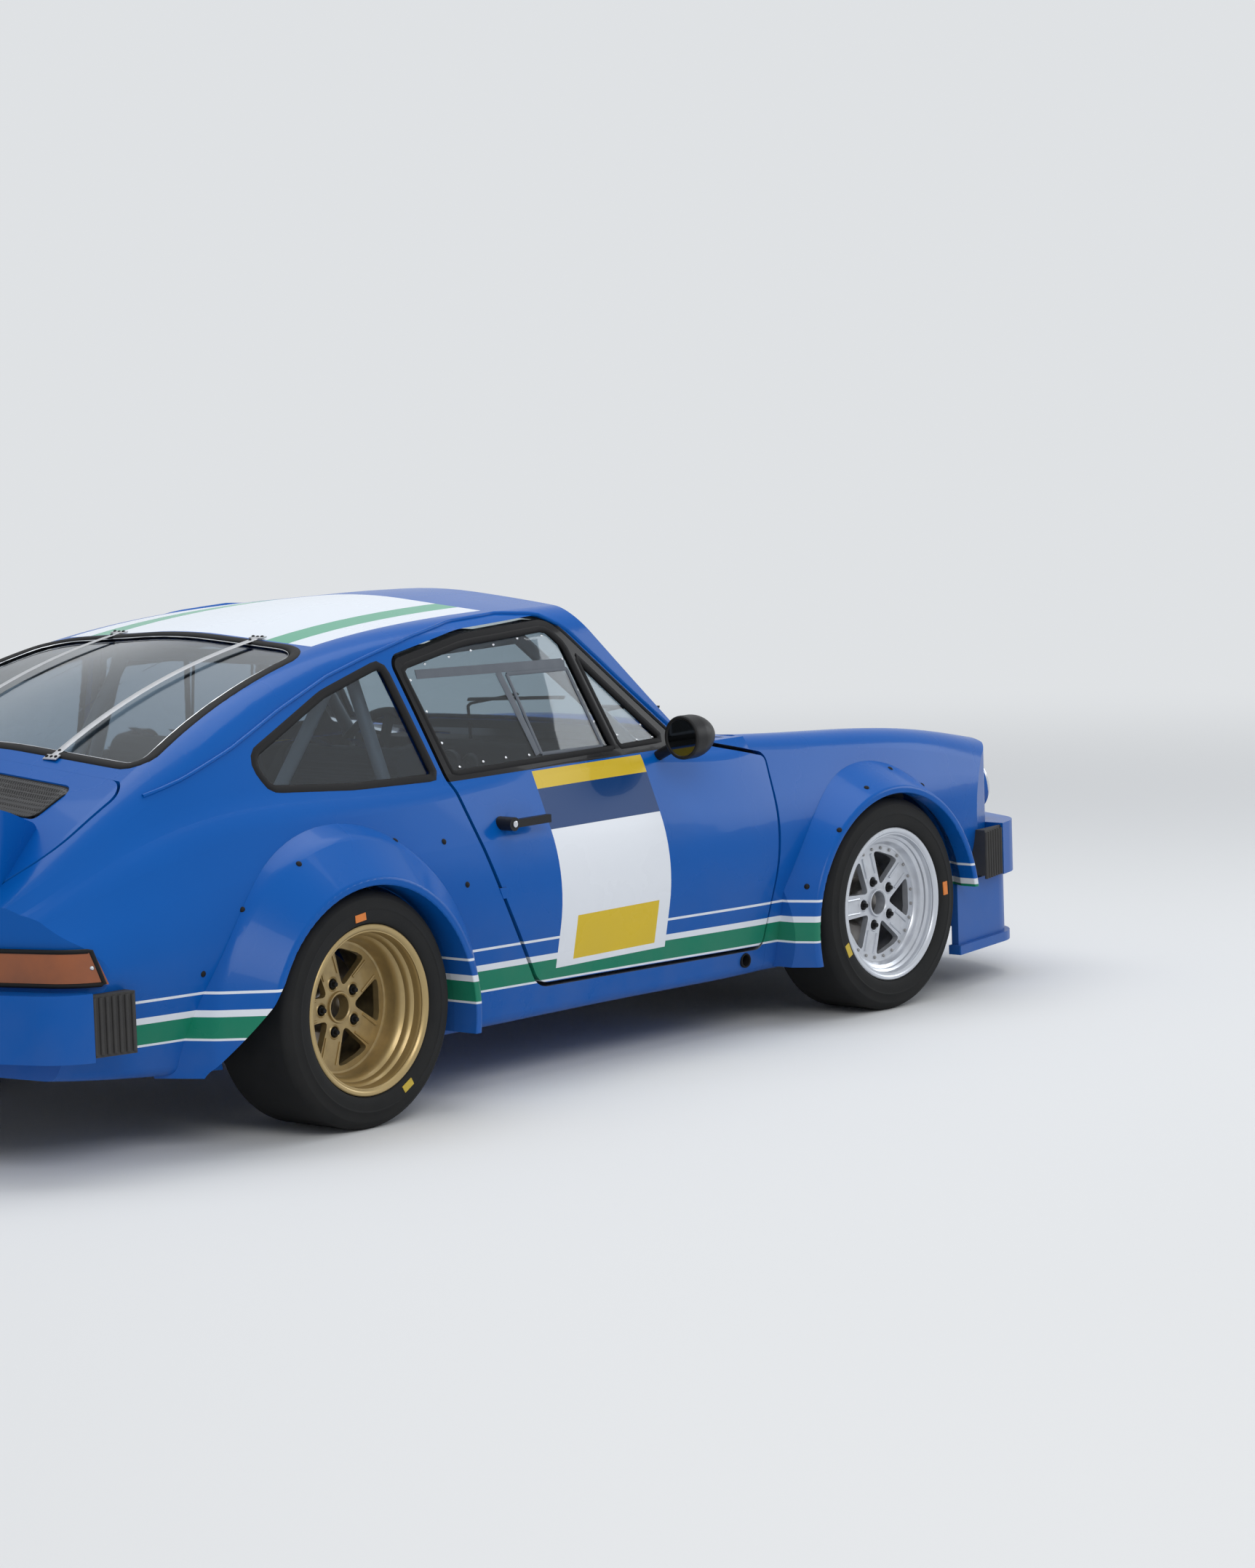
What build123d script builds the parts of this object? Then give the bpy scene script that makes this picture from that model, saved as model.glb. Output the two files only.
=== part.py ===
from build123d import *

import os
from collections import namedtuple
from math import cos, radians, sin, tan

# Rally car: a rear-engined two-door coupe with wide bolt-on arches.
# Millimetres. +X is forward, +Y is left, +Z is up. The origin is on the ground under
# the middle of the car.

os.makedirs("parts", exist_ok=True)

# Overall sizes
wheelbase = 2272
front_overhang = 930
rear_overhang = 1089
overall_length = front_overhang + wheelbase + rear_overhang
front_axle_x = overall_length / 2 - front_overhang
rear_axle_x = front_axle_x - wheelbase
nose_tip_x = overall_length / 2
tail_tip_x = -overall_length / 2

# Wheels and tyres
tyre_radius = 315
rim_radius = 206
flange_radius = 226
front_wheel_face = 866
rear_wheel_face = 890
front_tyre_width = 236
rear_tyre_width = 284
front_dish = 66
rear_dish = 122

# Shell walls and gaps
skin = 28
roof_wall = 34
door_depth = 75
sill_wall = 96
door_gap = 12
lid_gap = 8
seat_gap = 0.3
glass_thickness = 5
glass_recess = 9

# Steering and openings
arch_radius = 378
arch_z = 267
lock_radius = 404
lock_room_y = 786
kingpin_low_y = 668
kingpin_low_z = 228
kingpin_top_y = 530
kingpin_top_z = 706
tub_half_width = 418
tub_wall = 24

# Levels
cowl_z = 854
belt_z = 852
floor_top_z = 192
bulkhead_x = 735
cabin_front_x = 700
cabin_rear_x = -1480
rear_shelf_x = -700
rear_shelf_z = 480
shelf_board_half_width = 370
shelf_board_height = 4

Corner = namedtuple("Corner", "u v radius")


def fitted_radii(corners):
    # Each corner's radius, held to what its two sides leave room for.
    fitted = []
    for i, here in enumerate(corners):
        before = corners[i - 1]
        after = corners[(i + 1) % len(corners)]
        side_in = Vector(here.u - before.u, here.v - before.v)
        side_out = Vector(after.u - here.u, after.v - here.v)
        half_turn = tan(radians(side_in.get_angle(side_out)) / 2)
        room = 0.47 * min(side_in.length, side_out.length)
        limit = room / half_turn if half_turn > 1e-6 else here.radius
        fitted.append(max(min(here.radius, limit), 0.5))
    return fitted


def inset_ring(corners, depth):
    # The anticlockwise outline moved inwards by depth, or outwards where it is negative.
    moved = []
    for i, here in enumerate(corners):
        before = corners[i - 1]
        after = corners[(i + 1) % len(corners)]
        side_in = Vector(here.u - before.u, here.v - before.v).normalized()
        side_out = Vector(after.u - here.u, after.v - here.v).normalized()
        normal_in = Vector(-side_in.Y, side_in.X)
        normal_out = Vector(-side_out.Y, side_out.X)
        reach = depth / (1 + normal_in.dot(normal_out))
        is_convex = side_in.X * side_out.Y - side_in.Y * side_out.X > 0
        radius = here.radius - depth if is_convex else here.radius + depth
        moved.append(
            Corner(
                here.u + (normal_in.X + normal_out.X) * reach,
                here.v + (normal_in.Y + normal_out.Y) * reach,
                max(radius, 1),
            )
        )
    return moved


def mirrored_ring(half):
    # A full outline from the half with v above zero, given from its +u end to its -u end.
    return half + [Corner(c.u, -c.v, c.radius) for c in reversed(half)]


def prism(corners, plane, start, stop, depth=0):
    # The outline extruded along the plane's normal from start to stop.
    outline = inset_ring(corners, depth) if depth else corners
    with BuildPart() as solid:
        with BuildSketch(plane.offset(start)):
            with BuildLine():
                FilletPolyline(*[(c.u, c.v) for c in outline], radius=fitted_radii(outline), close=True)
            make_face()
        extrude(amount=stop - start)
    return solid.part


def side_prism(corners, y_low, y_high, depth=0):
    # An outline in x and z, extruded across the car from y_low to y_high.
    return prism(corners, Plane.XZ, -y_high, -y_low, depth)


def plan_prism(corners, z_low, z_high, depth=0):
    # An outline in x and y, extruded upwards from z_low to z_high.
    return prism(corners, Plane.XY, z_low, z_high, depth)


def block(x_low, x_high, y_low, y_high, z_low, z_high):
    # A plain block between the given planes.
    with BuildPart() as solid:
        with Locations(((x_low + x_high) / 2, (y_low + y_high) / 2, (z_low + z_high) / 2)):
            Box(x_high - x_low, y_high - y_low, z_high - z_low)
    return solid.part


def rod(start, end, radius):
    # A round bar between two points.
    axis = Vector(*end) - Vector(*start)
    with BuildPart() as solid:
        with BuildSketch(Plane(origin=start, z_dir=axis)):
            Circle(radius)
        extrude(amount=axis.length)
    return solid.part


def joined(*solids):
    with BuildPart() as whole:
        add(solids[0], clean=False)
        add(solids[1:], clean=False)
    return whole.part


def cut(base, *tools):
    with BuildPart() as rest:
        add(base, clean=False)
        add(tools, clean=False, mode=Mode.SUBTRACT)
    return rest.part


def common(base, *tools):
    with BuildPart() as shared:
        add(base, clean=False)
        for tool in tools:
            add(tool, clean=False, mode=Mode.INTERSECT)
    return shared.part


def flipped(solid):
    # The same piece on the other side of the car.
    return mirror(solid, about=Plane.XZ, mode=Mode.PRIVATE)


def save(solid, name):
    solid.label = name
    export_step(solid, f"parts/{name}.step")


# Body sections, as half outlines from the sill up to the roof
CabinRow = namedtuple("CabinRow", "x low_y low_z mid_y mid_z belt_y belt_z base_y base_z roof_y roof_z top_z")
cabin_rows = [
    CabinRow(rear_axle_x - 1023, 650, 260, 770, 520, 610, 612, 570, 634, 520, 656, 700),
    CabinRow(rear_axle_x - 793, 690, 230, 796, 540, 690, 712, 652, 742, 588, 808, 860),
    CabinRow(rear_axle_x - 493, 715, 205, 812, 560, 726, 802, 684, 852, 622, 985, 1038),
    CabinRow(rear_axle_x + 207, 745, 176, 828, 560, 742, 830, 704, 868, 556, 1222, 1262),
    CabinRow(-300, 748, 172, 828, 560, 718, 838, 704, 862, 566, 1268, 1318),
    CabinRow(250, 748, 170, 826, 560, 714, 838, 700, 862, 566, 1266, 1314),
    CabinRow(bulkhead_x, 745, 168, 822, 560, 713, 834, 694, 860, 566, 1222, 1268),
]
door_rows = cabin_rows[:-1] + [CabinRow(800, 745, 168, 822, 560, 713, 834, 694, 860, 566, 1216, 1262)]
cabin_corners = ["low", "mid", "belt", "base", "roof"]
cabin_radii = dict(low=35, mid=520, belt=200, base=160, roof=110, top=1900)

# Front sections, as half outlines from the sill over the wing to the bonnet
WingRow = namedtuple(
    "WingRow", "x low_y low_z mid_y mid_z crown_y crown_z inner_y inner_z edge_y edge_z top_z"
)
wing_rows = [
    WingRow(front_axle_x - 850, 748, 170, 826, 560, 702, 866, 600, 866, 530, 862, 880),
    WingRow(front_axle_x - 450, 745, 168, 822, 560, 700, 856, 595, 852, 515, 834, 862),
    WingRow(front_axle_x, 745, 168, 822, 560, 718, 830, 590, 822, 480, 782, 802),
    WingRow(front_axle_x + 385, 730, 190, 812, 540, 728, 790, 575, 788, 465, 716, 726),
    WingRow(front_axle_x + 640, 700, 220, 790, 510, 726, 744, 530, 746, 452, 656, 664),
    WingRow(front_axle_x + 865, 670, 250, 736, 480, 718, 712, 484, 708, 440, 580, 588),
]
wing_corners = ["low", "mid", "crown", "inner", "edge"]
wing_radii = dict(low=35, mid=420, crown=112, inner=112, edge=110, top=2500)


def section_ring(row, names, radii):
    right = [Corner(getattr(row, n + "_y"), getattr(row, n + "_z"), radii[n]) for n in names]
    left = [Corner(-c.u, c.v, c.radius) for c in reversed(right)]
    return right + [Corner(0, row.top_z, radii["top"])] + left


def hull(rows, names, radii, depth):
    # A smooth body through the sections, each moved inwards by depth.
    with BuildPart() as solid:
        for row in rows:
            corners = inset_ring(section_ring(row, names, radii), depth)
            with BuildSketch(Plane(origin=(row.x, 0, 0), x_dir=(0, 1, 0), z_dir=(1, 0, 0))):
                with BuildLine():
                    FilletPolyline(*[(c.u, c.v) for c in corners], radius=fitted_radii(corners), close=True)
                make_face()
        loft()
    return solid.part


def cabin_hull(depth):
    return hull(cabin_rows, cabin_corners, cabin_radii, depth)


def door_hull(depth):
    return hull(door_rows, cabin_corners, cabin_radii, depth)


def wing_hull(depth):
    return hull(wing_rows, wing_corners, wing_radii, depth)


# The car seen from above, from the middle of the nose to the middle of the tail
nose_face_x = nose_tip_x - 170
tail_face_x = tail_tip_x + 92
plan_outline = mirrored_ring(
    [
        Corner(nose_face_x, 470, 260),
        Corner(nose_face_x - 62, 700, 160),
        Corner(1500, 905, 10),
        Corner(-1500, 905, 10),
        Corner(tail_face_x + 95, 745, 150),
        Corner(tail_face_x, 470, 260),
    ]
)

# Windscreen: a curved pane that leans back
screen_base_centre_x = 650
screen_base_corner_x = 508
screen_base_corner_y = 690
screen_rake = radians(45)


def ahead_of_screen(shift):
    # All that lies ahead of the windscreen's outer face, moved rearwards by shift.
    rise = 760
    with BuildPart() as solid:
        with BuildSketch(Plane.XY.offset(cowl_z)):
            with BuildLine():
                ThreePointArc(
                    (screen_base_corner_x - shift, screen_base_corner_y),
                    (screen_base_centre_x - shift, 0),
                    (screen_base_corner_x - shift, -screen_base_corner_y),
                )
                Polyline(
                    (screen_base_corner_x - shift, -screen_base_corner_y),
                    (screen_base_corner_x - shift - 120, -900),
                    (1500, -900),
                    (1500, 900),
                    (screen_base_corner_x - shift - 120, 900),
                    (screen_base_corner_x - shift, screen_base_corner_y),
                )
            make_face()
        extrude(amount=rise, dir=(-sin(screen_rake), 0, cos(screen_rake)))
    return solid.part


# Door outline in x and z, and the window in it
door_outline = [
    Corner(-262, 270, 75),
    Corner(710, 251, 25),
    Corner(790, 792, 18),
    Corner(440, 874, 40),
    Corner(30, 1248, 80),
    Corner(-320, 1234, 500),
    Corner(-602, 1186, 25),
    Corner(-530, 850, 300),
    Corner(-448, 540, 700),
]
door_window = [
    Corner(-506, 868, 14),
    Corner(396, 874, 10),
    Corner(16, 1222, 70),
    Corner(-320, 1208, 500),
    Corner(-578, 1162, 20),
]
divider = [Corner(178, 850, 1), Corner(200, 850, 1), Corner(74, 1232, 1), Corner(52, 1232, 1)]
quarter_window = [
    Corner(-572, 864, 16),
    Corner(-642, 1182, 30),
    Corner(-900, 1118, 250),
    Corner(-1240, 984, 50),
    Corner(-1196, 896, 45),
    Corner(-900, 872, 300),
]

# Rear window, bonnet and engine lid outlines in x and y
rear_window = mirrored_ring([Corner(-822, 492, 120), Corner(-1552, 572, 60)])
bonnet_front_x = nose_face_x - 46
bonnet = mirrored_ring(
    [
        Corner(bonnet_front_x, 200, 300),
        Corner(bonnet_front_x - 70, 444, 60),
        Corner(front_axle_x, 486, 900),
        Corner(776, 512, 25),
        Corner(806, 200, 600),
    ]
)
lid_front_x = -1608
lid_rear_x = tail_face_x + 60
engine_lid_outline = mirrored_ring(
    [Corner(lid_front_x, 590, 60), Corner(-1850, 560, 300), Corner(lid_rear_x, 470, 40)]
)

cabin_outer = cabin_hull(0)
door_outer = door_hull(0)
door_skin_back = door_hull(skin)
cabin_roof = cabin_hull(roof_wall)
cabin_low = cabin_hull(sill_wall)
wing_outer = wing_hull(0)
wing_inner = wing_hull(skin)
plan_outer = plan_prism(plan_outline, 100, 1400)
plan_inner = plan_prism(plan_outline, 100, 1400, skin)

# Zones that share out the hulls
door_opening = side_prism(door_outline, 420, 960, -door_gap)
cowl_half_width = 514
front_arch = rod((front_axle_x, tub_half_width, arch_z), (front_axle_x, 1000, arch_z), lock_radius)
rear_house_y = 575
rear_arch = rod((rear_axle_x, rear_house_y, arch_z), (rear_axle_x, 1000, arch_z), arch_radius)
mouth_x = rear_axle_x - 330
mouth_z = arch_z + (arch_radius**2 - 330**2) ** 0.5
rear_mouth = side_prism(
    [
        Corner(mouth_x, 60, 2),
        Corner(mouth_x, mouth_z - 2, 2),
        Corner(rear_axle_x - 512, 214, 60),
        Corner(rear_axle_x - 524, 60, 2),
    ],
    704,
    1000,
)
left_front = block(0, nose_tip_x, 0, 1000, 0, 1500)
left_body = block(tail_tip_x, 1000, 0, 1000, 0, 1500)

# Body shell: roof, pillars, rear quarters, sills, floor and bulkheads in one
floor_half_width = 640
cabin_space = joined(
    common(cabin_low, block(cabin_rear_x, cabin_front_x, -10, 800, 280, belt_z + 6)),
    common(cabin_roof, block(cabin_rear_x, cabin_front_x, -10, 800, belt_z, 1400)),
    block(rear_shelf_x, cabin_front_x, -10, floor_half_width, floor_top_z, 330),
)
cabin_space = cut(
    cabin_space,
    ahead_of_screen(roof_wall),
    block(cabin_rear_x - 5, rear_shelf_x, -800, 800, 100, rear_shelf_z),
)
engine_wall_x = cabin_rear_x - 22
engine_space = joined(
    common(
        plan_prism(plan_outline, 262, 596, roof_wall),
        block(tail_tip_x, engine_wall_x, -10, 680, 262, 596),
    ),
    block(tail_face_x + 120, engine_wall_x, -430, 430, 100, 300),
)
gearbox_hole = block(engine_wall_x - 10, cabin_rear_x + 30, -140, 140, 100, 440)
shelf_under_z = rear_shelf_z - 24
axle_space = block(cabin_rear_x + 20, rear_shelf_x - 20, -rear_house_y, rear_house_y, 100, shelf_under_z)
screen_opening = cut(
    common(cabin_hull(48), ahead_of_screen(roof_wall + 60)),
    block(0, 900, -900, 900, 800, 884),
)
quarter_opening = side_prism(quarter_window, 420, 960)
rear_opening = plan_prism(rear_window, 930, 1400)
lid_opening = cut(
    plan_prism(engine_lid_outline, 590, 1400, -lid_gap),
    block(lid_front_x + seat_gap, 0, -900, 900, 500, 1400),
)
cowl = cut(
    common(wing_outer, block(400, 810, 0, cowl_half_width, 780, 960), ahead_of_screen(roof_wall)),
    wing_inner,
    plan_prism(bonnet, 600, 1000, -lid_gap),
)
hinge_z = 430
hinge_bracket = block(cabin_front_x + 4, bulkhead_x - 4, 390, 720, hinge_z - 18, hinge_z + 18)
jack_x = 640
jack_z = 215
jack_radius = 17
jack_tube = rod((jack_x, 690, jack_z), (jack_x, 900, jack_z), jack_radius)
body_half = cut(
    common(cabin_outer, plan_outer, left_body),
    jack_tube,
    ahead_of_screen(0),
    engine_space,
    axle_space,
    gearbox_hole,
    lid_opening,
    door_opening,
    rear_opening,
    screen_opening,
    quarter_opening,
    rear_arch,
    cabin_space,
    rear_mouth,
)
body_half = joined(body_half, cowl, hinge_bracket)
shelf_board = block(
    cabin_rear_x + 40,
    rear_shelf_x - 40,
    -shelf_board_half_width,
    shelf_board_half_width,
    rear_shelf_z - 10,
    rear_shelf_z + shelf_board_height,
)
save(joined(joined(body_half, flipped(body_half)), shelf_board), "body_shell")

# Front tub: boot floor and inner wheelhouse walls under the bonnet
tub = common(
    wing_hull(22 + seat_gap),
    plan_prism(plan_outline, 100, 1400, skin),
    block(bulkhead_x, nose_face_x - 120, -tub_half_width, tub_half_width, 200, 1400),
)
boot_space = block(
    bulkhead_x + tub_wall,
    nose_face_x - 120 - tub_wall,
    -tub_half_width + tub_wall,
    tub_half_width - tub_wall,
    300,
    1400,
)
front_tub = cut(tub, boot_space)

# Bonnet
bonnet_panel = cut(common(wing_outer, plan_prism(bonnet, 560, 1000)), wing_hull(22))
save(bonnet_panel, "bonnet")

# Front wings with the headlamp rings
lamp_centre_y = 574
lamp_centre_z = 598
lamp_face_x = nose_face_x - 34
lamp_tilt = radians(18)
lamp_ring_radius = 107
lamp_radius = 91
lamp_plane = Plane(
    origin=(lamp_face_x, lamp_centre_y, lamp_centre_z),
    x_dir=(0, 1, 0),
    z_dir=(cos(lamp_tilt), 0, sin(lamp_tilt)),
)
lamp_tube = rod(
    (1780, lamp_centre_y, lamp_centre_z),
    (nose_tip_x, lamp_centre_y, lamp_centre_z),
    lamp_ring_radius,
)
with BuildPart() as lamp_front:
    with BuildSketch(lamp_plane):
        Rectangle(500, 500)
    extrude(amount=300)
with BuildPart() as lamp_bore:
    with BuildSketch(lamp_plane):
        Circle(lamp_radius)
    extrude(amount=-70)
wing_half = cut(common(wing_outer, plan_outer, left_front), common(wing_inner, plan_inner))
wing_foot_z = 322.6
front_wing_left = cut(
    common(joined(wing_half, lamp_tube), block(bulkhead_x + seat_gap, nose_tip_x, 446, 960, 120, 1000)),
    lamp_front.part,
    lamp_bore.part,
    block(400, 812, 0, cowl_half_width + seat_gap, 100, 1000),
    door_opening,
    plan_prism(bonnet, 560, 1000, -lid_gap),
    front_arch,
    block(1500, nose_tip_x, 0, 960, 100, wing_foot_z),
    block(400, nose_tip_x, 0, 700, 100, 300),
)
save(front_wing_left, "front_wing_left")
save(flipped(front_wing_left), "front_wing_right")

# Nose panel between the headlamps
nose_half = cut(
    common(wing_half, block(nose_face_x - 120 + seat_gap, nose_tip_x, 0, 446 - seat_gap, wing_foot_z, 1000)),
    plan_prism(bonnet, 560, 1000, -lid_gap),
)
save(joined(nose_half, flipped(nose_half)), "nose_panel")

# Doors: skin and window frame, with a deeper inner box below the window
door_prism = side_prism(door_outline, 420, 960)
door_skin = cut(common(door_outer, door_prism), door_skin_back)
door_box = cut(
    common(
        door_skin_back,
        side_prism(door_outline, 420, 960, 16),
        block(-900, 900, 420, 960, 200, belt_z - 16),
    ),
    door_hull(door_depth),
)
hinge_half = block(cabin_front_x - 10, bulkhead_x - 19, 720 + seat_gap, 770, hinge_z - 12, hinge_z + 12)
latch_tongue = common(
    block(-490, -430, 791, 812, 530, 560),
    side_prism(door_outline, 700, 900, seat_gap - door_gap),
)
door_left = joined(
    cut(door_skin, side_prism(door_window, 420, 960)),
    door_box,
    common(door_skin, side_prism(divider, 420, 960)),
    hinge_half,
    latch_tongue,
)
save(door_left, "door_left")
save(flipped(door_left), "door_right")

# Glass: side panes follow the body, set in from its surface
pane_outer = door_hull(glass_recess)
pane_inner = door_hull(glass_recess + glass_thickness)
door_glass_left = cut(
    common(pane_outer, side_prism(door_window, 420, 960, seat_gap)),
    pane_inner,
    side_prism(divider, 420, 960, -seat_gap),
)
save(door_glass_left, "door_glass_left")
save(flipped(door_glass_left), "door_glass_right")
quarter_pane = cut(common(pane_outer, side_prism(quarter_window, 420, 960, seat_gap)), pane_inner)
save(joined(quarter_pane, flipped(quarter_pane)), "quarter_windows")
rear_pane = cut(common(pane_outer, plan_prism(rear_window, 930, 1400, seat_gap)), pane_inner)
save(rear_pane, "rear_window")
screen_pane = cut(
    common(
        cabin_hull(48 + seat_gap),
        ahead_of_screen(glass_recess + glass_thickness),
        block(0, 900, -900, 900, 884 + seat_gap, 1400),
    ),
    ahead_of_screen(glass_recess),
)
save(screen_pane, "windscreen")

# Engine lid with its tail and grille
lid_prism = plan_prism(engine_lid_outline, 600, 1400)
lid_shell = cut(
    common(cabin_outer, plan_outer, lid_prism),
    common(cabin_hull(26), plan_prism(plan_outline, 100, 1400, 26)),
)
tail_profile = [
    Corner(-1995, 716, 20),
    Corner(-1860, 770, 5),
    Corner(-1762, 852, 40),
    Corner(-1930, 912, 400),
    Corner(-2108, 962, 8),
    Corner(-2112, 940, 8),
    Corner(-2052, 892, 60),
]
tail_plan = mirrored_ring([Corner(-1720, 420, 80), Corner(-2109, 540, 130)])
grille_outline = mirrored_ring([Corner(-1652, 440, 30), Corner(-1776, 410, 20)])
cabin_clear = cabin_hull(-seat_gap)
body_clear = common(cabin_clear, plan_prism(plan_outline, 100, 1400, -seat_gap))
tail = common(side_prism(tail_profile, -700, 700), plan_prism(tail_plan, 600, 1000))
overhang = cut(tail, lid_prism, body_clear)
engine_lid = cut(
    joined(lid_shell, common(tail, lid_prism), overhang),
    plan_prism(grille_outline, 700, 1100),
)
save(engine_lid, "engine_lid")
grille_layer = cut(common(cabin_hull(8), plan_prism(grille_outline, 700, 1100, seat_gap)), cabin_hull(20))
slat_pitch = 15
slat_gaps = [
    block(-1658 - slat_pitch * (i + 1), -1658 - slat_pitch * i - 6, y + 5, y + 195, 700, 1100)
    for i in range(7)
    for y in (-400, -200, 0, 200)
]
engine_grille = cut(grille_layer, *slat_gaps)
save(engine_grille, "engine_grille")

# Bolt-on arch flares
wing_clear = wing_hull(-seat_gap)


def flare(axle_x, lip_y, blend_radius, blend_y, foot_radius, foot_y, inner_radius, inner_y):
    # A ring that swells from the body side to the arch lip. Up to inner_y its inside has inner_radius.
    with BuildPart() as ring:
        with BuildSketch(Plane(origin=(axle_x, 0, arch_z), x_dir=(1, 0, 0), z_dir=(0, 0, 1))):
            with BuildLine():
                FilletPolyline(
                    (inner_radius, foot_y),
                    (inner_radius, inner_y),
                    (arch_radius, inner_y + 46),
                    (arch_radius, lip_y),
                    (arch_radius + 20, lip_y),
                    (blend_radius, blend_y),
                    (foot_radius, foot_y),
                    radius=[1, 4, 4, 4, 14, 90, 1],
                    close=True,
                )
            make_face()
        revolve(axis=Axis((axle_x, 0, arch_z), (0, 1, 0)))
    return ring.part


front_flare = cut(
    flare(front_axle_x, 886, 444, 798, 520, 660, lock_radius, lock_room_y),
    wing_clear,
    block(0, 788, 0, 1000, -600, 1000),
    block(0, nose_tip_x, 0, 1000, -600, 178),
    block(1500, nose_tip_x, 0, 1000, -600, wing_foot_z),
    block(1700, nose_tip_x, 0, 1000, 0, 1000),
)
save(joined(front_flare, flipped(front_flare)), "front_flares")
rear_flare = cut(
    flare(rear_axle_x, 914, 500, 812, 580, 660, arch_radius + 4, lock_room_y),
    cabin_clear,
    block(tail_tip_x, 0, 0, 1000, -600, 202),
    rear_mouth,
)
save(joined(rear_flare, flipped(rear_flare)), "rear_flares")

# Bumpers, bellows and chin spoiler
bumper_outline = mirrored_ring(
    [
        Corner(nose_tip_x, 430, 330),
        Corner(nose_tip_x - 150, 748, 170),
        Corner(1560, 880, 10),
        Corner(-1560, 880, 10),
        Corner(tail_tip_x + 120, 772, 160),
        Corner(tail_tip_x, 430, 320),
    ]
)
front_bumper_low = 322.3
front_bumper_top = 480
rear_bumper_low = 300
rear_bumper_top = 474
front_clear = common(wing_clear, plan_prism(plan_outline, 100, 1400, -seat_gap))
front_bumper = cut(
    common(
        plan_prism(bumper_outline, front_bumper_low, front_bumper_top),
        block(1870, 2200, -960, 960, 0, 1000),
    ),
    front_clear,
)
save(front_bumper, "front_bumper")
rear_bumper = cut(
    common(
        plan_prism(bumper_outline, rear_bumper_low, rear_bumper_top),
        block(-2200, -1952, -960, 960, 0, 1000),
    ),
    body_clear,
)
save(rear_bumper, "rear_bumper")
front_bellows = cut(
    common(
        plan_prism(bumper_outline, front_bumper_low + 12, front_bumper_top - 6, 8),
        block(1732, 1869.7, 0, 960, 0, 1000),
    ),
    wing_clear,
)
rear_bellows = cut(
    common(
        plan_prism(bumper_outline, rear_bumper_low + 10, rear_bumper_top - 6, 8),
        block(-1951.7, -1828, 0, 960, 0, 1000),
    ),
    cabin_clear,
)
save(joined(front_bellows, rear_bellows, flipped(front_bellows), flipped(rear_bellows)), "bumper_bellows")
spoiler_outline = mirrored_ring(
    [Corner(nose_tip_x, 430, 320), Corner(nose_tip_x - 155, 738, 170), Corner(1602, 815, 3)]
)
spoiler = cut(
    joined(plan_prism(spoiler_outline, 136, 322, 16), plan_prism(spoiler_outline, 108, 136)),
    plan_prism(spoiler_outline, 0, 400, 44),
    block(1500, 1660, -770, 770, 0, 400),
)
save(spoiler, "chin_spoiler")

# Lamps
with BuildPart() as headlamp:
    with Locations(lamp_plane.offset(-31)):
        Cylinder(lamp_radius - seat_gap, 62)
    with Locations(lamp_plane.offset(-4)):
        Cylinder(lamp_radius - seat_gap, 56)
    with Locations(lamp_plane.offset(-156)):
        Sphere(180, mode=Mode.INTERSECT)
save(joined(headlamp.part, flipped(headlamp.part)), "headlamps")
tail_lamp = cut(
    common(
        plan_prism(plan_outline, 490, 578, -13),
        block(tail_tip_x, -1888, 330, 960, 0, 1000),
    ),
    body_clear,
)
save(joined(tail_lamp, flipped(tail_lamp)), "tail_lamps")

# Mirrors and door handles
mirror_centre = (318, 852, 900)
with BuildPart() as mirror_head:
    with BuildSketch(Plane(origin=mirror_centre, x_dir=(1, 0, 0), z_dir=(0, -1, 0))):
        with BuildLine():
            Polyline((-38, 0), (-38, 62), (0, 62))
            ThreePointArc((0, 62), (62, 38), (92, 0))
            Line((92, 0), (-38, 0))
        make_face()
    revolve(axis=Axis(mirror_centre, (1, 0, 0)))
mirror_stalk = cut(rod((340, 700, 832), mirror_centre, 15), cabin_clear)
mirror_left = joined(mirror_head.part, mirror_stalk)
save(mirror_left, "mirror_left")
save(flipped(mirror_left), "mirror_right")
handle_x, handle_z = -392, 728
handle_left = cut(
    joined(
        rod((handle_x, 760, handle_z), (handle_x, 815, handle_z), 19),
        block(handle_x - 8, handle_x + 150, 797, 815, handle_z - 11, handle_z + 11),
    ),
    cabin_clear,
)
save(handle_left, "door_handle_left")
save(flipped(handle_left), "door_handle_right")

# Wheels, built on the +Y side with the tyre's outer face at y = 0


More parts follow.
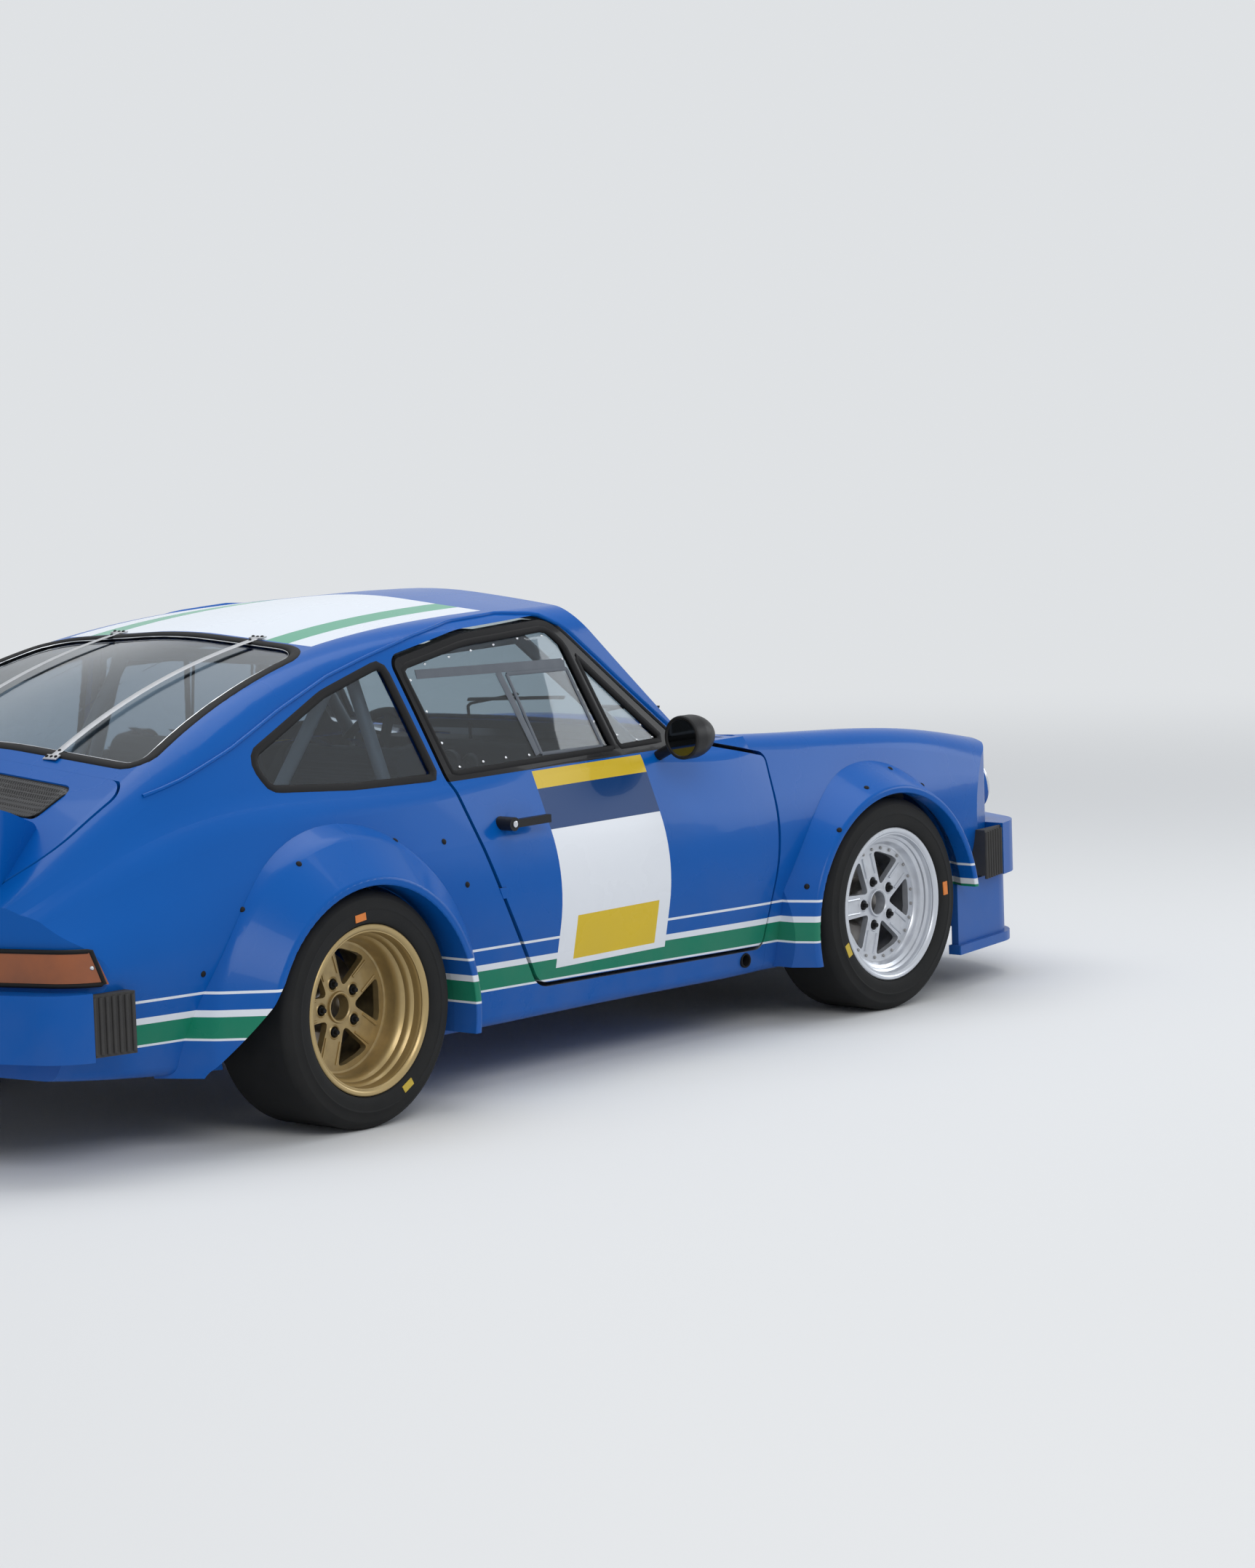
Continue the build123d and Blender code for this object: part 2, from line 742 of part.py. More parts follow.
def wheel_rim(width, dish):
    with BuildPart() as rim:
        with BuildSketch(Plane.XY):
            with BuildLine():
                Polyline(
                    (flange_radius, -8),
                    (202, -8),
                    (200, -40),
                    (188, -48),
                    (184, -dish - 34),
                    (196, -dish - 44),
                    (199, 8 - width),
                    (flange_radius, 8 - width),
                    (flange_radius, 14 - width),
                    (rim_radius, 14 - width),
                    (rim_radius, -14),
                    (flange_radius, -14),
                    close=True,
                )
            make_face()
        revolve(axis=Axis.Y)
        with BuildSketch(Plane.XY):
            with BuildLine():
                Polyline(
                    (44, -dish - 44),
                    (90, -dish - 44),
                    (90, -dish - 34),
                    (186, -dish - 34),
                    (186, -dish - 14),
                    (100, -dish),
                    (44, -dish),
                    close=True,
                )
            make_face()
        revolve(axis=Axis.Y)
        for k in range(5):
            window = Plane.XZ.offset(-60).rotated((0, 72 * k + 36, 0))
            with BuildSketch(window):
                with BuildLine():
                    FilletPolyline(
                        (92, -20),
                        (170, -58),
                        (178, 0),
                        (170, 58),
                        (92, 20),
                        radius=[12, 12, 100, 12, 12],
                        close=True,
                    )
                make_face()
            extrude(amount=dish + 160, mode=Mode.SUBTRACT)
        with BuildSketch(Plane.XZ.offset(dish + 20)):
            with PolarLocations(65, 5):
                Circle(14)
        extrude(amount=-60, mode=Mode.SUBTRACT)
    return rim.part


def tyre(width):
    with BuildPart() as ring:
        with BuildSketch(Plane.XY):
            with BuildLine():
                Polyline(
                    (rim_radius + seat_gap, -14 - seat_gap),
                    (flange_radius + 2, -14 - seat_gap),
                    (262, 0),
                    (tyre_radius, -26),
                    (tyre_radius, 26 - width),
                    (262, -width),
                    (flange_radius + 2, 14 + seat_gap - width),
                    (rim_radius + seat_gap, 14 + seat_gap - width),
                    close=True,
                )
            make_face()
        revolve(axis=Axis.Y)
    return ring.part


disc_radius = 145
stub_radius = 23


def brake_disc(dish):
    # Hub and disc behind the wheel's mounting face.
    face = -dish - 44
    with BuildPart() as disc:
        with BuildSketch(Plane.XY):
            with BuildLine():
                Polyline(
                    (stub_radius + seat_gap, face - seat_gap),
                    (72, face - seat_gap),
                    (72, face - 30),
                    (disc_radius, face - 30),
                    (disc_radius, face - 56),
                    (stub_radius + seat_gap, face - 56),
                    close=True,
                )
            make_face()
        revolve(axis=Axis.Y)
    return disc.part


wheel_sets = [
    ("front", front_axle_x, front_wheel_face, front_tyre_width, front_dish),
    ("rear", rear_axle_x, rear_wheel_face, rear_tyre_width, rear_dish),
]
for end, axle_x, face_y, width, dish in wheel_sets:
    wheel_pieces = {"rim": wheel_rim(width, dish), "tyre": tyre(width), "brake_disc": brake_disc(dish)}
    for name, solid in wheel_pieces.items():
        left = Pos(axle_x, face_y, tyre_radius) * solid
        save(left, f"{name}_{end}_left")
        save(flipped(left), f"{name}_{end}_right")

# Front knuckles with their struts, and the parts that carry them
front_hub_y = front_wheel_face - front_dish - 44 - 56
kingpin_low = Vector(front_axle_x, kingpin_low_y, kingpin_low_z)
kingpin_top = Vector(front_axle_x, kingpin_top_y, kingpin_top_z)
kingpin = (kingpin_top - kingpin_low).normalized()
knuckle_left = joined(
    cut(
        block(front_axle_x - 42, front_axle_x + 42, 622, front_hub_y - 4, 238, 398),
        rod(kingpin_low - kingpin * 30, kingpin_low + kingpin * 40, 10 + seat_gap),
    ),
    rod(kingpin_low + kingpin * 120, kingpin_top, 26),
    rod((front_axle_x, 650, tyre_radius), (front_axle_x, front_hub_y + 50, tyre_radius), stub_radius),
    cut(
        block(front_axle_x - 172, front_axle_x - 84, front_hub_y - 18, front_hub_y + 40, 275, 355),
        rod(
            (front_axle_x, front_hub_y - 5, tyre_radius),
            (front_axle_x, front_hub_y + 31, tyre_radius),
            disc_radius + 5,
        ),
    ),
    block(front_axle_x - 172, front_axle_x - 20, front_hub_y - 18, front_hub_y - 5, 285, 345),
)
save(knuckle_left, "front_knuckle_left")
save(flipped(knuckle_left), "front_knuckle_right")

tower_z = kingpin_top_z + 14
bearing_start = kingpin_top + kingpin * seat_gap
top_mount_left = rod(bearing_start, bearing_start + kingpin * 26, 40)
tower_left = joined(
    block(front_axle_x - 62, front_axle_x + 62, tub_half_width - 6, 590, tower_z, tower_z + 20),
    top_mount_left,
)
save(joined(front_tub, tower_left, flipped(tower_left)), "front_tub")

# Front crossmember, steering rack and lower arms with their ball pins
ball_end = Vector(front_axle_x, kingpin_low_y, 206)
arm_left = joined(
    rod((front_axle_x - 150, 330, 176), ball_end, 15),
    rod((front_axle_x + 130, 330, 176), ball_end, 15),
    rod(ball_end - Vector(0, 0, 15), ball_end + Vector(0, 0, 16), 20),
    common(
        rod(kingpin_low - kingpin * 30, kingpin_low + kingpin * 36, 10),
        block(front_axle_x - 40, front_axle_x + 40, 600, 720, 212, 300),
    ),
)
front_suspension = joined(
    block(front_axle_x - 175, front_axle_x + 155, -345, 345, 160, 199.7),
    rod((front_axle_x + 190, -400, 178), (front_axle_x + 190, 400, 178), 21),
    block(front_axle_x + 150, front_axle_x + 195, -120, 120, 166, 192),
    arm_left,
    flipped(arm_left),
)
save(front_suspension, "front_suspension")

# Rear trailing arms, hub carriers, drive shafts and dampers
rear_hub_y = rear_wheel_face - rear_dish - 44 - 56
carrier_y = rear_hub_y - 6
arm_pivot = (rear_axle_x + 300, 400, 262)
trailing_left = common(
    joined(
        block(rear_axle_x - 50, rear_axle_x + 50, 604, carrier_y, 255, 375),
        rod(
            (rear_axle_x, carrier_y - 10, tyre_radius),
            (rear_axle_x, rear_hub_y + 50, tyre_radius),
            stub_radius,
        ),
        rod(arm_pivot, (rear_axle_x + 20, 612, 300), 22),
        rod((rear_axle_x + 300, 330, 262), (rear_axle_x + 300, 470, 262), 30),
        rod((rear_axle_x, 100, tyre_radius - 20), (rear_axle_x, 612, tyre_radius), 17),
        rod((rear_axle_x - 20, 612, 350), (rear_axle_x - 56, 530, 480), 24),
    ),
    block(rear_axle_x - 400, rear_axle_x + 400, 0, 1000, 0, shelf_under_z - seat_gap),
)
rear_suspension = joined(
    block(rear_axle_x + 265, rear_axle_x + 335, -420, 420, 300, shelf_under_z - seat_gap),
    block(rear_axle_x + 280, rear_axle_x + 320, 330, 470, 262, 310),
    block(rear_axle_x + 280, rear_axle_x + 320, -470, -330, 262, 310),
    trailing_left,
    flipped(trailing_left),
)
save(rear_suspension, "rear_suspension")

# Engine and gearbox as plain blocks, and the silencer
engine = joined(
    block(-1925, -1530, -300, 300, 250, 540),
    block(-1535, rear_axle_x + 120, -105, 105, 215, 420),
    block(-1990, -1920, -240, 240, 262.3, 320),
)
engine = cut(engine, rod((rear_axle_x, -110, 295), (rear_axle_x, 110, 295), 40))
save(engine, "engine")
silencer_x = -1972
pipe_y = 240
pipe_z = 150
pipe_radius = 30
pipe_bore_radius = 26
pipe_length = 76
collar_end_x = silencer_x - 74
pipe_end_x = collar_end_x - pipe_length
silencer = common(
    joined(
        rod((silencer_x, -330, 168), (silencer_x, 330, 168), 62),
        rod((silencer_x, pipe_y, pipe_z), (collar_end_x, pipe_y, pipe_z), 38),
        rod((collar_end_x + 10, pipe_y, pipe_z), (pipe_end_x, pipe_y, pipe_z), pipe_radius),
        rod((silencer_x + 20, 200, 180), (-1860, 200, 280), 24),
        rod((silencer_x + 20, -200, 180), (-1860, -200, 280), 24),
    ),
    block(tail_tip_x, -1800, -400, 400, 0, 250 - seat_gap),
)
pipe_bore = rod((pipe_end_x + 60, pipe_y, pipe_z), (tail_tip_x, pipe_y, pipe_z), pipe_bore_radius)
save(cut(silencer, pipe_bore), "exhaust")

# Bucket seats
seat_outline = [
    Corner(-350, 245, 40),
    Corner(150, 262, 30),
    Corner(185, 420, 40),
    Corner(-120, 400, 90),
    Corner(-300, 560, 120),
    Corner(-430, 950, 50),
    Corner(-590, 930, 50),
    Corner(-520, 560, 90),
]
seat_hollow = [
    Corner(-285, 305, 60),
    Corner(400, 330, 5),
    Corner(400, 1100, 5),
    Corner(-545, 1100, 5),
    Corner(-535, 930, 5),
    Corner(-462, 560, 80),
]
seat_y = 345
seat_width = 430
seat_shell = cut(
    side_prism(seat_outline, seat_y - seat_width / 2, seat_y + seat_width / 2),
    side_prism(seat_hollow, seat_y - seat_width / 2 + 38, seat_y + seat_width / 2 - 38),
)
seat_left = joined(
    seat_shell,
    block(-300, 130, seat_y - 190, seat_y - 150, floor_top_z + seat_gap, 262),
    block(-300, 130, seat_y + 150, seat_y + 190, floor_top_z + seat_gap, 262),
)
save(seat_left, "seat_left")
save(flipped(seat_left), "seat_right")

# Roll cage
cage_radius = 19
hoop_x = -640


def cage_run(points):
    # Straight tubes through the points, with a round corner at each.
    tubes = [rod(a, b, cage_radius) for a, b in zip(points, points[1:])]
    with BuildPart() as knees:
        with Locations(*points[1:-1]):
            Sphere(cage_radius)
    return joined(*tubes, knees.part)


cage_foot_z = floor_top_z + seat_gap
shelf_foot_z = rear_shelf_z + seat_gap
hoop = cage_run(
    [
        (hoop_x, 590, cage_foot_z),
        (hoop_x, 590, 800),
        (hoop_x, 440, 1180),
        (hoop_x, -440, 1180),
        (hoop_x, -590, 800),
        (hoop_x, -590, cage_foot_z),
    ]
)
front_leg = cage_run(
    [
        (hoop_x, 440, 1180),
        (60, 440, 1190),
        (400, 560, 860),
        (430, 578, cage_foot_z),
    ]
)
rear_stay = rod((hoop_x, 420, 1180), (-1190, 400, shelf_foot_z - 20), cage_radius)
door_bar = rod((hoop_x, 590, 620), (420, 575, 420), cage_radius)
front_bar = rod((60, -440, 1190), (60, 440, 1190), cage_radius)
stay_trim = block(-1400, 600, -700, 700, cage_foot_z, 1300)
shelf_trim = block(-1400, rear_shelf_x, -700, 700, 100, shelf_foot_z)
roll_cage = cut(
    common(
        joined(
            hoop,
            front_leg,
            flipped(front_leg),
            rear_stay,
            flipped(rear_stay),
            door_bar,
            flipped(door_bar),
            front_bar,
        ),
        stay_trim,
    ),
    shelf_trim,
)
save(roll_cage, "roll_cage")

# Dashboard with the steering column, and the steering wheel
wheel_centre = Vector(300, seat_y, 760)
column_tilt = radians(20)
column = Vector(cos(column_tilt), 0, -sin(column_tilt))
dash_outline = [
    Corner(478, 690, 20),
    Corner(cabin_front_x - seat_gap, 690, 2),
    Corner(cabin_front_x - seat_gap, 820, 2),
    Corner(520, 826, 30),
]
dashboard = joined(
    side_prism(dash_outline, -590, 590),
    rod(wheel_centre + column * 30, wheel_centre + column * 260, 28),
)
save(dashboard, "dashboard")
with BuildPart() as steering_wheel:
    with BuildSketch(Plane(origin=wheel_centre, x_dir=(0, 1, 0), z_dir=column)):
        Circle(42)
        with PolarLocations(92, 3, start_angle=90):
            Rectangle(150, 24)
    extrude(amount=10, both=True)
    with Locations(Plane(origin=wheel_centre, x_dir=(0, 1, 0), z_dir=column)):
        Torus(172, 14)
    with BuildSketch(Plane(origin=wheel_centre, x_dir=(0, 1, 0), z_dir=column)):
        Circle(30)
    extrude(amount=30 - seat_gap)
save(steering_wheel.part, "steering_wheel")
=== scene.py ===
import bpy
import bmesh
from math import radians, pi, sin, cos, tan, sqrt
from mathutils import Matrix, Vector
from mathutils.bvhtree import BVHTree


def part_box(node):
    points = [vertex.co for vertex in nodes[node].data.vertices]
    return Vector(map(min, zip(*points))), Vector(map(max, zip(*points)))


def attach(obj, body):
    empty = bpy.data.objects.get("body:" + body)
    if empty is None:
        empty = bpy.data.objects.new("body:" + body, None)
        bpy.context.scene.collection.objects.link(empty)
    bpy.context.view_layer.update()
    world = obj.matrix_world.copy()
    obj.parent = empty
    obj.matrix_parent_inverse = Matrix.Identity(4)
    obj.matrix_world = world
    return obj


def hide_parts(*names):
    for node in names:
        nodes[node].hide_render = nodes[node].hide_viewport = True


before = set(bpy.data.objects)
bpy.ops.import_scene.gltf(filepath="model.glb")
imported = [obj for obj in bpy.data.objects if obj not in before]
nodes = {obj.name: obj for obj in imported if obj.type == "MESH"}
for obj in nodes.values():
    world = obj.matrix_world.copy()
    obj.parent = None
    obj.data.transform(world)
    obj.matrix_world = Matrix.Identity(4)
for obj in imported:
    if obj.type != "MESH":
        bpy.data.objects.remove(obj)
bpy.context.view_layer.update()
scene = bpy.context.scene


# camera and studio

camera = dict(
    place=(-10.4345, -9.854, 2.302), heading=40.68, pitch=-6.23, roll=-1.9,
    focalPixels=6893, imageWidth=1725, sensor=36.0,
)
studio = dict(
    floor=(0.74, 0.75, 0.76), floorHalf=60, floorRoughness=0.85, backdrop=(0.74, 0.76, 0.78), fade=(4.5, 11),
    sky=(0.93, 0.96, 1.0), worldStrength=0.55,
    lights=(
        ("keySoftbox", (-5.5, -7.5, 6.5), (0, 0, 0.5), (5, 4), 300, (1, 0.985, 0.96)),
        ("roofSoftbox", (0.5, 0.5, 6.5), (0, 0, 0), (7, 4), 220, (1, 1, 1)),
        ("noseSoftbox", (8, -4.5, 3.2), (1.5, 0, 0.5), (4, 3), 120, (0.95, 0.98, 1)),
    ),
)


def makeCamera(c):
    data = bpy.data.cameras.new("photoCamera")
    data.sensor_fit = "HORIZONTAL"
    data.sensor_width = c["sensor"]
    data.lens = c["focalPixels"] * c["sensor"] / c["imageWidth"]
    data.clip_start, data.clip_end = 0.1, 200
    obj = bpy.data.objects.new("photoCamera", data)
    scene.collection.objects.link(obj)
    yaw, pitch, roll = (radians(c[k]) for k in ("heading", "pitch", "roll"))
    forward = Vector((cos(pitch) * cos(yaw), cos(pitch) * sin(yaw), sin(pitch)))
    right = forward.cross(Vector((0, 0, 1))).normalized()
    up = right.cross(forward)
    right, up = right * cos(roll) + up * sin(roll), up * cos(roll) - right * sin(roll)
    turn = Matrix((right, up, -forward)).transposed().to_4x4()
    obj.matrix_world = Matrix.Translation(c["place"]) @ turn
    scene.camera = obj


def areaLight(name, place, target, size, power, colour):
    data = bpy.data.lights.new(name, "AREA")
    data.shape = "RECTANGLE"
    data.size, data.size_y = size
    data.energy, data.color = power, colour
    obj = bpy.data.objects.new(name, data)
    scene.collection.objects.link(obj)
    obj.location = place
    obj.rotation_euler = (Vector(target) - Vector(place)).to_track_quat("-Z", "Y").to_euler()


def seenDirectly(tree):
    # 1 for what the camera sees, straight or through glass or in a reflection
    path = tree.nodes.new("ShaderNodeLightPath")
    value = path.outputs["Is Camera Ray"]
    for name in ("Is Glossy Ray", "Is Transmission Ray"):
        most = tree.nodes.new("ShaderNodeMath")
        most.operation = "MAXIMUM"
        tree.links.new(value, most.inputs[0])
        tree.links.new(path.outputs[name], most.inputs[1])
        value = most.outputs[0]
    return value


def makeStudio(s):
    scene.view_settings.view_transform = "Standard"
    world = bpy.data.worlds.new("studioWorld")
    scene.world = world
    world.use_nodes = True
    tree = world.node_tree
    tree.nodes.clear()
    out = tree.nodes.new("ShaderNodeOutputWorld")
    seen = tree.nodes.new("ShaderNodeBackground")
    lit = tree.nodes.new("ShaderNodeBackground")
    mix = tree.nodes.new("ShaderNodeMixShader")
    seen.inputs["Color"].default_value = (*s["backdrop"], 1)
    seen.inputs["Strength"].default_value = 1.0
    lit.inputs["Color"].default_value = (*s["sky"], 1)
    lit.inputs["Strength"].default_value = s["worldStrength"]
    tree.links.new(seenDirectly(tree), mix.inputs["Fac"])
    tree.links.new(lit.outputs[0], mix.inputs[1])
    tree.links.new(seen.outputs[0], mix.inputs[2])
    tree.links.new(mix.outputs[0], out.inputs["Surface"])
    bm = bmesh.new()
    bmesh.ops.create_grid(bm, x_segments=2, y_segments=2, size=s["floorHalf"])
    data = bpy.data.meshes.new("studioFloor")
    bm.to_mesh(data)
    bm.free()
    floor = bpy.data.objects.new("studioFloor", data)
    scene.collection.objects.link(floor)
    mat = bpy.data.materials.new("paleFloor")
    mat.use_nodes = True
    shader = mat.node_tree.nodes["Principled BSDF"]
    shader.inputs["Base Color"].default_value = (*s["floor"], 1)
    shader.inputs["Roughness"].default_value = s["floorRoughness"]
    tree = mat.node_tree
    coords = tree.nodes.new("ShaderNodeTexCoord")
    reach = tree.nodes.new("ShaderNodeVectorMath")
    reach.operation = "LENGTH"
    tree.links.new(coords.outputs["Object"], reach.inputs[0])
    fade = tree.nodes.new("ShaderNodeMapRange")
    fade.interpolation_type = "SMOOTHSTEP"
    fade.inputs["From Min"].default_value, fade.inputs["From Max"].default_value = s["fade"]
    tree.links.new(reach.outputs["Value"], fade.inputs["Value"])
    both = tree.nodes.new("ShaderNodeMath")
    both.operation = "MULTIPLY"
    tree.links.new(fade.outputs["Result"], both.inputs[0])
    tree.links.new(seenDirectly(tree), both.inputs[1])
    glow = tree.nodes.new("ShaderNodeEmission")
    glow.inputs["Color"].default_value = (*s["backdrop"], 1)
    blend = tree.nodes.new("ShaderNodeMixShader")
    tree.links.new(both.outputs[0], blend.inputs["Fac"])
    tree.links.new(shader.outputs[0], blend.inputs[1])
    tree.links.new(glow.outputs[0], blend.inputs[2])
    tree.links.new(blend.outputs[0], tree.nodes["Material Output"].inputs["Surface"])
    data.materials.append(mat)
    for light in s["lights"]:
        areaLight(*light)


makeCamera(camera)
makeStudio(studio)
print("camera and studio ready")


# materials

def newMaterial(name, colour, roughness=0.5, metallic=0.0, coat=0.0, specular=0.5):
    mat = bpy.data.materials.new(name)
    mat.use_nodes = True
    shader = mat.node_tree.nodes["Principled BSDF"]
    shader.inputs["Base Color"].default_value = (*colour, 1)
    shader.inputs["Roughness"].default_value = roughness
    shader.inputs["Metallic"].default_value = metallic
    shader.inputs["Coat Weight"].default_value = coat
    shader.inputs["Coat Roughness"].default_value = 0.04
    shader.inputs["Specular IOR Level"].default_value = specular
    return mat


def newGroup(name, inputs, outputs):
    group = bpy.data.node_groups.new(name, "ShaderNodeTree")
    for label, kind, value in inputs:
        socket = group.interface.new_socket(name=label, in_out="INPUT", socket_type=kind)
        socket.default_value = value
    for label, kind in outputs:
        group.interface.new_socket(name=label, in_out="OUTPUT", socket_type=kind)
    return group, group.nodes.new("NodeGroupInput"), group.nodes.new("NodeGroupOutput")


def link(tree, source, target):
    tree.links.new(source, target)


# small node helpers

def calc(tree, operation, a, b=0.0, c=None, clamp=False):
    node = tree.nodes.new("ShaderNodeMath")
    node.operation = operation
    node.use_clamp = clamp
    for socket, value in zip(node.inputs, (a, b, c)):
        if value is None:
            continue
        if isinstance(value, (int, float)):
            socket.default_value = value
        else:
            link(tree, value, socket)
    return node.outputs[0]


def blendColours(tree, factor, a, b):
    node = tree.nodes.new("ShaderNodeMix")
    node.data_type = "RGBA"
    link(tree, factor, node.inputs["Factor"])
    for key, value in (("A", a), ("B", b)):
        if isinstance(value, tuple):
            node.inputs[key].default_value = (*value, 1)
        else:
            link(tree, value, node.inputs[key])
    return node.outputs["Result"]


def useGroup(tree, group, **values):
    node = tree.nodes.new("ShaderNodeGroup")
    node.node_tree = group
    for key, value in values.items():
        socket = node.inputs[key]
        if isinstance(value, tuple):
            socket.default_value = (*value, 1)
        elif isinstance(value, (int, float)):
            socket.default_value = value
        else:
            link(tree, value, socket)
    return node.outputs


def objectCoords(tree):
    return tree.nodes.new("ShaderNodeTexCoord").outputs["Object"]


def objectAxes(tree):
    split = tree.nodes.new("ShaderNodeSeparateXYZ")
    link(tree, objectCoords(tree), split.inputs[0])
    return split.outputs["X"], split.outputs["Y"], split.outputs["Z"]


def objectNoise(tree, scale, detail=2.0):
    noise = tree.nodes.new("ShaderNodeTexNoise")
    noise.inputs["Detail"].default_value = detail
    if isinstance(scale, (int, float)):
        noise.inputs["Scale"].default_value = scale
    else:
        link(tree, scale, noise.inputs["Scale"])
    link(tree, objectCoords(tree), noise.inputs["Vector"])
    return noise.outputs["Fac"]


def addBump(tree, height, strength, distance):
    rise = tree.nodes.new("ShaderNodeBump")
    rise.inputs["Strength"].default_value = strength
    rise.inputs["Distance"].default_value = distance
    link(tree, height, rise.inputs["Height"])
    link(tree, rise.outputs["Normal"], tree.nodes["Principled BSDF"].inputs["Normal"])


# base colour and roughness that vary softly over a surface
mottle, groupIn, groupOut = newGroup(
    "softMottle",
    [("Colour", "NodeSocketColor", (0.5, 0.5, 0.5, 1)),
     ("Second Colour", "NodeSocketColor", (0.4, 0.4, 0.4, 1)),
     ("Size", "NodeSocketFloat", 6.0), ("Amount", "NodeSocketFloat", 0.5),
     ("Roughness", "NodeSocketFloat", 0.5), ("Roughness Spread", "NodeSocketFloat", 0.1)],
    [("Colour", "NodeSocketColor"), ("Roughness", "NodeSocketFloat"), ("Height", "NodeSocketFloat")],
)
given = groupIn.outputs
clouds = objectNoise(mottle, given["Size"], 5)
tint = blendColours(mottle, calc(mottle, "MULTIPLY", clouds, given["Amount"]),
                    given["Colour"], given["Second Colour"])
centred = calc(mottle, "SUBTRACT", clouds, 0.5)
rough = calc(mottle, "MULTIPLY_ADD", centred, given["Roughness Spread"], given["Roughness"])
link(mottle, tint, groupOut.inputs["Colour"])
link(mottle, rough, groupOut.inputs["Roughness"])
link(mottle, clouds, groupOut.inputs["Height"])


def cloudOver(tree, colour, second, size, amount, roughness, spread):
    return useGroup(tree, mottle, **{"Colour": colour, "Second Colour": second, "Size": size,
                                     "Amount": amount, "Roughness": roughness, "Roughness Spread": spread})


def surface(name, colour, second, size, amount, roughness, spread, bump=None, **look):
    # bump is a strength and a distance
    mat = newMaterial(name, colour, roughness, **look)
    tree = mat.node_tree
    shader = tree.nodes["Principled BSDF"]
    cloud = cloudOver(tree, colour, second, size, amount, roughness, spread)
    link(tree, cloud["Colour"], shader.inputs["Base Color"])
    link(tree, cloud["Roughness"], shader.inputs["Roughness"])
    if bump:
        addBump(tree, cloud["Height"], *bump)
    return mat


# one between two values, zero outside them
between, groupIn, groupOut = newGroup(
    "betweenValues",
    [("Value", "NodeSocketFloat", 0.0), ("Low", "NodeSocketFloat", 0.0), ("High", "NodeSocketFloat", 1.0)],
    [("Mask", "NodeSocketFloat")],
)
above = calc(between, "GREATER_THAN", groupIn.outputs["Value"], groupIn.outputs["Low"])
below = calc(between, "LESS_THAN", groupIn.outputs["Value"], groupIn.outputs["High"])
link(between, calc(between, "MULTIPLY", above, below), groupOut.inputs["Mask"])


def bandMask(tree, value, span):
    return useGroup(tree, between, Value=value, Low=span[0], High=span[1])["Mask"]


def rectangleMask(tree, a, b, aSpan, bSpan):
    return calc(tree, "MULTIPLY", bandMask(tree, a, aSpan), bandMask(tree, b, bSpan))


# road dust that gathers low down and in patches
dustPatches = dict(scale=5.5, detail=7, least=0.36, gain=4.0)
dusty, groupIn, groupOut = newGroup(
    "roadDust",
    [("Top", "NodeSocketFloat", 0.5), ("Depth", "NodeSocketFloat", 0.3), ("Amount", "NodeSocketFloat", 0.4)],
    [("Mask", "NodeSocketFloat")],
)
drop = calc(dusty, "SUBTRACT", groupIn.outputs["Top"], objectAxes(dusty)[2])
drop = calc(dusty, "DIVIDE", drop, groupIn.outputs["Depth"], clamp=True)
patch = objectNoise(dusty, dustPatches["scale"], dustPatches["detail"])
patch = calc(dusty, "SUBTRACT", patch, dustPatches["least"])
patch = calc(dusty, "MULTIPLY", patch, dustPatches["gain"], clamp=True)
dustMask = calc(dusty, "MULTIPLY", calc(dusty, "MULTIPLY", drop, patch), groupIn.outputs["Amount"])
link(dusty, dustMask, groupOut.inputs["Mask"])

# stripes along the car's sides, over any base colour
stripes = dict(
    rise=0.021, reach=(-1.83, 1.86), sideFrom=0.62, noseFrom=1.42, noseLift=0.036,
    top=(0.385, 0.392), white=(0.3275, 0.345), green=(0.273, 0.3275), low=(0.267, 0.273),
    greenColour=(0.004, 0.19, 0.11), whiteColour=(0.72, 0.76, 0.82),
)
sideStripes, groupIn, groupOut = newGroup(
    "sideStripes", [("Colour", "NodeSocketColor", (0, 0, 1, 1))], [("Colour", "NodeSocketColor")])
axisX, axisY, axisZ = objectAxes(sideStripes)
level = calc(sideStripes, "MULTIPLY_ADD", axisX, stripes["rise"], axisZ)
noseEnd = calc(sideStripes, "GREATER_THAN", axisX, stripes["noseFrom"])
level = calc(sideStripes, "MULTIPLY_ADD", noseEnd, -stripes["noseLift"], level)
sideways = calc(sideStripes, "GREATER_THAN", calc(sideStripes, "ABSOLUTE", axisY), stripes["sideFrom"])
onSide = calc(sideStripes, "MULTIPLY", sideways, bandMask(sideStripes, axisX, stripes["reach"]))
colour = groupIn.outputs["Colour"]
for key in ("top", "white", "green", "low"):
    band = calc(sideStripes, "MULTIPLY", bandMask(sideStripes, level, stripes[key]), onSide)
    colour = blendColours(sideStripes, band, colour,
                          stripes["greenColour" if key == "green" else "whiteColour"])
link(sideStripes, colour, groupOut.inputs["Colour"])

# blue paint in its four uses
paint = dict(
    blue=(0.0015, 0.098, 0.41), deep=(0.001, 0.070, 0.31), inside=(0.20, 0.215, 0.23),
    dust=(0.30, 0.27, 0.23), black=(0.012, 0.012, 0.013), roughness=0.27, coat=0.10, specular=0.12,
    dustTop=0.55, dustDepth=0.42, dustAmount=0.09, dustRoughness=0.9, dustDulling=-0.8,
    peelScale=140, peel=(0.04, 0.0006),
)


